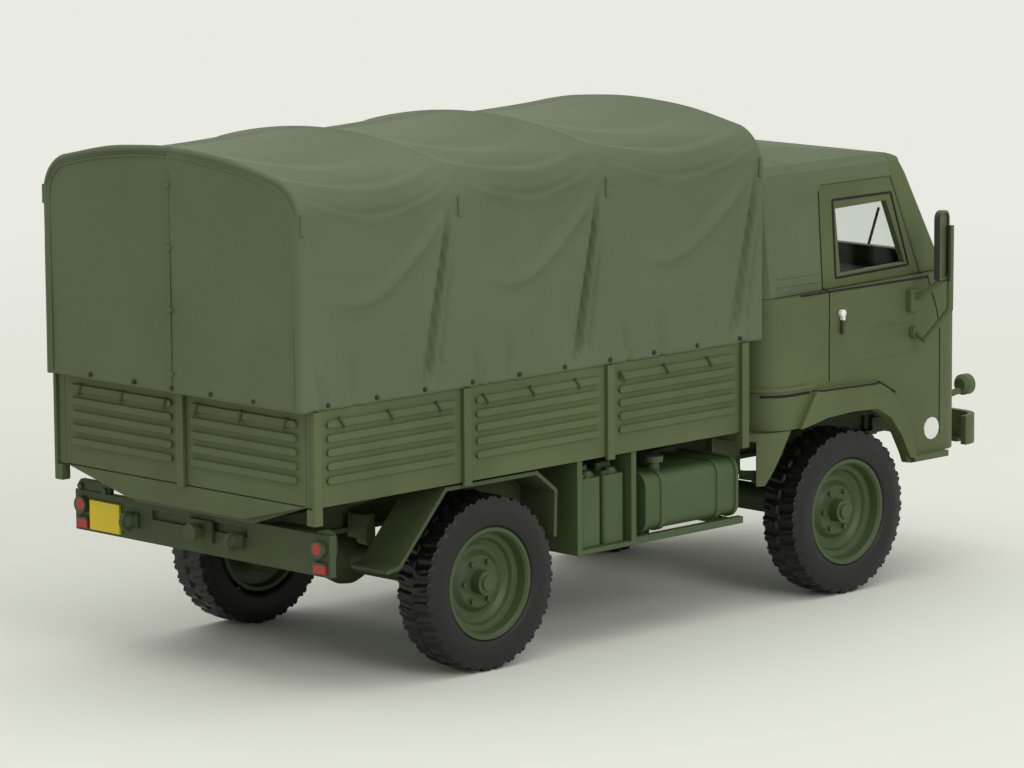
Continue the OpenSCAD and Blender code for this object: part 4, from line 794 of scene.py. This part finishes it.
pegs_tree, pegs_in, pegs_out = geometry_tree(
    "row_of_pegs", ("Radius", "Float", 0.0003), ("Length", "Float", 0.001), ("Turn", "Vector", None),
    ("Finish", "Material", None)
)
pegs_shape = pegs_tree.nodes.new("GeometryNodeMeshCylinder")
pegs_shape.inputs["Vertices"].default_value = peg_sides
pegs_place = pegs_tree.nodes.new("GeometryNodeInstanceOnPoints")
pegs_real = pegs_tree.nodes.new("GeometryNodeRealizeInstances")
pegs_finish = pegs_tree.nodes.new("GeometryNodeSetMaterial")
chain(
    pegs_tree,
    (pegs_in, "Radius", pegs_shape, "Radius"), (pegs_in, "Length", pegs_shape, "Depth"),
    (pegs_in, "Geometry", pegs_place, "Points"), (pegs_shape, "Mesh", pegs_place, "Instance"),
    (pegs_in, "Turn", pegs_place, "Rotation"), (pegs_place, "Instances", pegs_real, "Geometry"),
    (pegs_real, "Geometry", pegs_finish, "Geometry"), (pegs_in, "Finish", pegs_finish, "Material"),
    (pegs_finish, "Geometry", pegs_out, "Geometry"),
)


def grown(name, points, edges, tree, slot, **values):
    """A piece of the truck that a geometry tree makes from points and edges in millimetres."""
    start = bpy.data.meshes.new(name)
    start.from_pydata([Vector(p) * MM for p in points], edges, [])
    piece = new_piece(name, start)
    modifier = piece.modifiers.new("grown", "NODES")
    modifier.node_group = tree
    set_inputs(modifier, **values)
    shown = piece.evaluated_get(bpy.context.evaluated_depsgraph_get())
    piece.data = bpy.data.meshes.new_from_object(shown)
    piece.modifiers.clear()
    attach(piece, "truck")


def line(name, paths, radius, finish, slot):
    """A thin round bead along each path, a list of points in millimetres."""
    points = [p for path in paths for p in path]
    edges, first = [], 0
    for path in paths:
        edges += [(first + i, first + i + 1) for i in range(len(path) - 1)]
        first += len(path)
    grown(name, points, edges, lines_tree, slot, radius=radius * MM, finish=finish)


def pegs(name, points, radius, length, turn, finish, slot):
    """Short round pegs at the points, turned from upright by three angles in degrees."""
    sizes = {"radius": radius * MM, "length": length * MM, "turn": tuple(math.radians(a) for a in turn)}
    grown(name, points, [], pegs_tree, slot, finish=finish, **sizes)


def surface_of(*names):
    """The faces of some CAD nodes as one surface that a ray can meet."""
    corners, faces = [], []
    for name in names:
        mesh = nodes[name].data
        first = len(corners)
        corners += [v.co.copy() for v in mesh.vertices]
        faces += [[first + i for i in face.vertices] for face in mesh.polygons]
    return BVHTree.FromPolygons(corners, faces)


def spots_on_side(surface, places, side, proud=0.0):
    """Points on a side of the surface, at places of (length from the rear axle, height)."""
    spots = []
    for u, z in places:
        start = Vector((axle_mm + u, side * ray_from_y, z)) * MM
        hit = surface.ray_cast(start, Vector((0, -side, 0)))[0]
        if hit and abs(hit.y) / MM > least_side_y:
            spots.append((axle_mm + u, hit.y / MM + side * proud, z))
    return spots


def laid_on_cab(routes, proud=0.0):
    """Routes of places laid on both sides of the cab, with a point every step."""
    paths = []
    for side in (-1, 1):
        for route in routes:
            places = [route[0]]
            for (u0, z0), (u1, z1) in zip(route, route[1:]):
                count = max(1, round(math.hypot(u1 - u0, z1 - z0) / laid_step))
                for i in range(1, count + 1):
                    places.append((u0 + (u1 - u0) * i / count, z0 + (z1 - z0) * i / count))
            path = spots_on_side(cab_side, places, side, proud)
            if len(path) > 1:
                paths.append(path)
    return paths


# Seams of the cab
# Thin near-black beads, half sunk in the paint: painted shade in the gaps round the door, under the
# window frames and over the arch, painted shadow under the bead, and the windows' black rubbers.
# Two creases run along each door, the soft top has a hem of two beads, and two pegs stand
# on its header.
cab_side = surface_of("cab_body", "cab_skirts", "cab_top", "door_frames", "windscreen_frame", "cab_glazing")
# Near-black beads: painted shade in the seams and under the bead, and the black of the window rubbers
gap_black = matt_paint("gap_black", srgb(14, 15, 12), roughness=0.7, drift=0.05, grain_depth=0.05)
# Each gap's route, as lengths from the rear axle and heights, and the radius of its bead
cab_lines = {
    "belt_gap": ([(54.8, 41.5), (83.8, 41.5)], 0.15),
    "arch_gap": ([(60.3, 28.5), (72.0, 28.2), (73.8, 28.2), (77.1, 26.4)], 0.13),
    "bead_gap": ([(52.4, 28.4), (59.8, 28.4)], 0.18),
    "door_gap": ([(63.7, 54.8), (63.7, 29.4)], 0.09),
    "nose_gap": ([(83.5, 42.0), (85.6, 37.0), (86.3, 34.0), (86.3, 19.5)], 0.09),
    "window_rubber": ([(66.4, 53.4), (78.2, 53.4), (81.2, 43.3), (66.4, 42.95), (66.4, 53.4)], 0.16),
}
for label, (route, thick) in cab_lines.items():
    line(label, laid_on_cab([route]), thick, gap_black, "interior_black")
crease_r = 0.12
crease_proud = -0.06
crease_routes = ([(69.8, 35.7), (83.6, 35.7)], [(71.0, 31.5), (82.0, 31.5)])
line("door_creases", laid_on_cab(crease_routes, crease_proud), crease_r, body_paint, "body_green")
header_y = 19.5
header_z = 56.8
header_peg_r = 0.5
header_peg_len = 2.0
peg_ahead = 0.55
peg_above = 0.2
header_pegs = []
for side in (-1, 1):
    ahead = Vector((cad_high.x / MM + 10, side * header_y, header_z)) * MM
    header = cab_side.ray_cast(ahead, Vector((-1, 0, 0)))[0]
    if header:
        header_pegs.append((header.x / MM + peg_ahead, side * header_y, header_z + peg_above))
pegs("header_pegs", header_pegs, header_peg_r, header_peg_len, (0, 60, 0), body_paint, "body_green")
hem_r = 0.16
hem_proud = -0.04
hem_routes = [[(54.6, z), (63.4, z)] for z in (42.9, 44.0)]
line("soft_top_hem", laid_on_cab(hem_routes, hem_proud), hem_r, cab_cloth, "tarp_green")

# Seams of the cover
# Moulded with the cover: a welt round the curtain, its middle seam with four buckles, and a loop
# for a strap at each hoop. A row of lashing eyelets runs along the hem, as black pegs that are
# painted shade in the eyelets' holes.
tail_x = tarp_low.x
seam_x = tail_x + curtain_sunk - 0.03
seam_y = -0.2
seam_foot = tarp_low.z + 0.1
seam_step = 0.5
seam_points = 56
welt_in = 1.5
welt_r = 0.13
welt = [
    (seam_x, (y - ny * welt_in) * side, z - nz * welt_in)
    for y, z, ny, nz, side in zip(base_y, base_z, normal_y, normal_z, section_side)
]
welt = [p for p in welt if p[2] > seam_foot]
middle_seam = [(seam_x, seam_y, seam_foot + i * seam_step) for i in range(seam_points)]
line("curtain_welt", [welt, middle_seam], welt_r, tarp_cloth, "tarp_green")


def skin_y_at(u, z, side):
    """Where the cover's side lies at a length from the rear axle and a height."""
    station = int(np.argmin(np.abs(skin_x[:, 0] - (axle_mm + u))))
    half = around // 2
    return side * abs(float(np.interp(z, skin_z[station, :half], skin_y[station, :half])))


lashing_pitch = 8.15
eyelet_z = 37.2
eyelet_r = 0.3
eyelet_len = 0.36
first_eyelet_u = -27.4
eyelet_u = [first_eyelet_u + lashing_pitch * k for k in range(10)]
# Each eyelet is a short black peg: painted shade in the eyelet's hole
side_eyelets = [(axle_mm + u, skin_y_at(u, eyelet_z, side), eyelet_z) for u in eyelet_u for side in (-1, 1)]
pegs("side_eyelets", side_eyelets, eyelet_r, eyelet_len, (90, 0, 0), trim_plastic, "interior_black")
tail_eyelets = [(tail_x + 0.1, y, eyelet_z) for y in (15.3, 6.9, -0.3, -7.6, -15.5)]
pegs("tail_eyelets", tail_eyelets, eyelet_r, eyelet_len, (0, 90, 0), trim_plastic, "interior_black")
buckle_r = 0.3
buckle_len = 0.9
buckles = [(tail_x + 0.02, seam_y, z) for z in (38.9, 47.0, 54.7, 62.4)]
pegs("curtain_buckles", buckles, buckle_r, buckle_len, (90, 0, 0), tarp_cloth, "tarp_green")
loop_z = 59.4
loop_r = 0.34
loop_len = 2.4
loops_from_tail = (0.6, *hoops_from_tail[1:3], tarp_len - 0.8)
loops = [
    (tail_x + x, skin_y_at(tail_x + x - axle_mm, loop_z, side), loop_z)
    for x in loops_from_tail for side in (-1, 1)
]
pegs("strap_loops", loops, loop_r, loop_len, (0, 0, 0), tarp_cloth, "tarp_green")

# Lashing hooks of the bed
# Small slanting hooks for the cover's lashing, cast with the drop sides and the tail panel under
# the hem, and made here as thin pegs.
hook_r = 0.2
hook_len = 1.6
hook_proud = 0.1
side_hook_z = 34.9
tail_hook_z = 34.7
first_hook_u = -25.3
side_hooks = [(first_hook_u + lashing_pitch * k, side_hook_z) for k in range(9)]
for side, hand in ((-1, "right"), (1, "left")):
    hooks = spots_on_side(surface_of(f"side_panel_{hand}"), side_hooks, side, hook_proud)
    pegs(f"side_hooks_{hand}", hooks, hook_r, hook_len, (0, -35, 0), chassis_plastic, "chassis_green")
tail_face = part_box("tail_panel")[0].x / MM
tail_hooks = [(tail_face - 0.05, y, tail_hook_z) for y in (-19.3, -11.2, -3.0, 3.0, 11.2, 19.3)]
pegs("tail_hooks", tail_hooks, hook_r, hook_len, (20, 0, 0), chassis_plastic, "chassis_green")

# Tail apron and the rear bar's ear
# Pressed plates: one hangs under the tail panel and narrows to the middle, and one stands on the
# left end of the rear bar with two round bosses.
plate_edge = 0.12


def plate(name, outline, rear_x, thickness, finish):
    """A plate across the truck with eased edges, its outline given as (y, z)."""
    count = len(outline)
    points = [(x, y, z) for x in (rear_x, rear_x + thickness) for y, z in outline]
    faces = [tuple(range(count)), tuple(range(2 * count - 1, count - 1, -1))]
    faces += [(i, (i + 1) % count, (i + 1) % count + count, i + count) for i in range(count)]
    mesh = mesh_of(name, points, faces, smooth=False)
    mesh.materials.append(finish)
    piece = new_piece(name, mesh)
    eased = piece.modifiers.new("edge", "BEVEL")
    eased.width = plate_edge * MM
    eased.segments = 2
    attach(piece, "truck")


apron_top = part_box("tail_panel")[0].z / MM + 0.3
apron_foot = apron_top - 3.2
apron_half_w = 23.8
apron_foot_half_w = 10.9
apron_ahead = 0.35
apron_thick = 0.7
apron_outline = [
    (-apron_half_w, apron_top), (apron_half_w, apron_top),
    (apron_foot_half_w, apron_foot), (-apron_foot_half_w, apron_foot),
]
plate("tail_apron", apron_outline, tail_face + apron_ahead, apron_thick, body_paint)
bar_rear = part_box("rear_bar")[0].x / MM
ear_foot = 20.4
ear_top = 22.4
ear_in = 17.5
ear_out = 23.7
ear_ahead = 0.2
ear_thick = 0.8
ear_outline = [
    (ear_in, ear_foot), (ear_out, ear_foot), (ear_out, ear_top - 0.5), (ear_out - 0.5, ear_top),
    (ear_in + 0.6, ear_top), (ear_in, ear_top - 0.6),
]
plate("rear_bar_ear", ear_outline, bar_rear + ear_ahead, ear_thick, chassis_plastic)
boss_r = 0.42
boss_len = 0.6
ear_bosses = [(bar_rear + 0.1, y, z) for y, z in ((23.0, 21.5), (18.2, 21.3))]
pegs("ear_bosses", ear_bosses, boss_r, boss_len, (0, 90, 0), chassis_plastic, "chassis_green")

# Round sign
# A bare white disc low on the right of the nose. It stands for a flat coat of paint, and is made
# here as a thin disc let into the cab's side.
sign_place = (84.6, 20.5)
sign_r = 1.55
sign_thick = 0.2
white_paint = matt_paint("white_paint", srgb(222, 222, 216), roughness=0.4, drift=0.03, grain_depth=0.05)
disc_centre = spots_on_side(cab_side, [sign_place], -1, 0.02)
pegs("blank_disc", disc_centre, sign_r, sign_thick, (90, 0, 0), white_paint, "handle_silver")
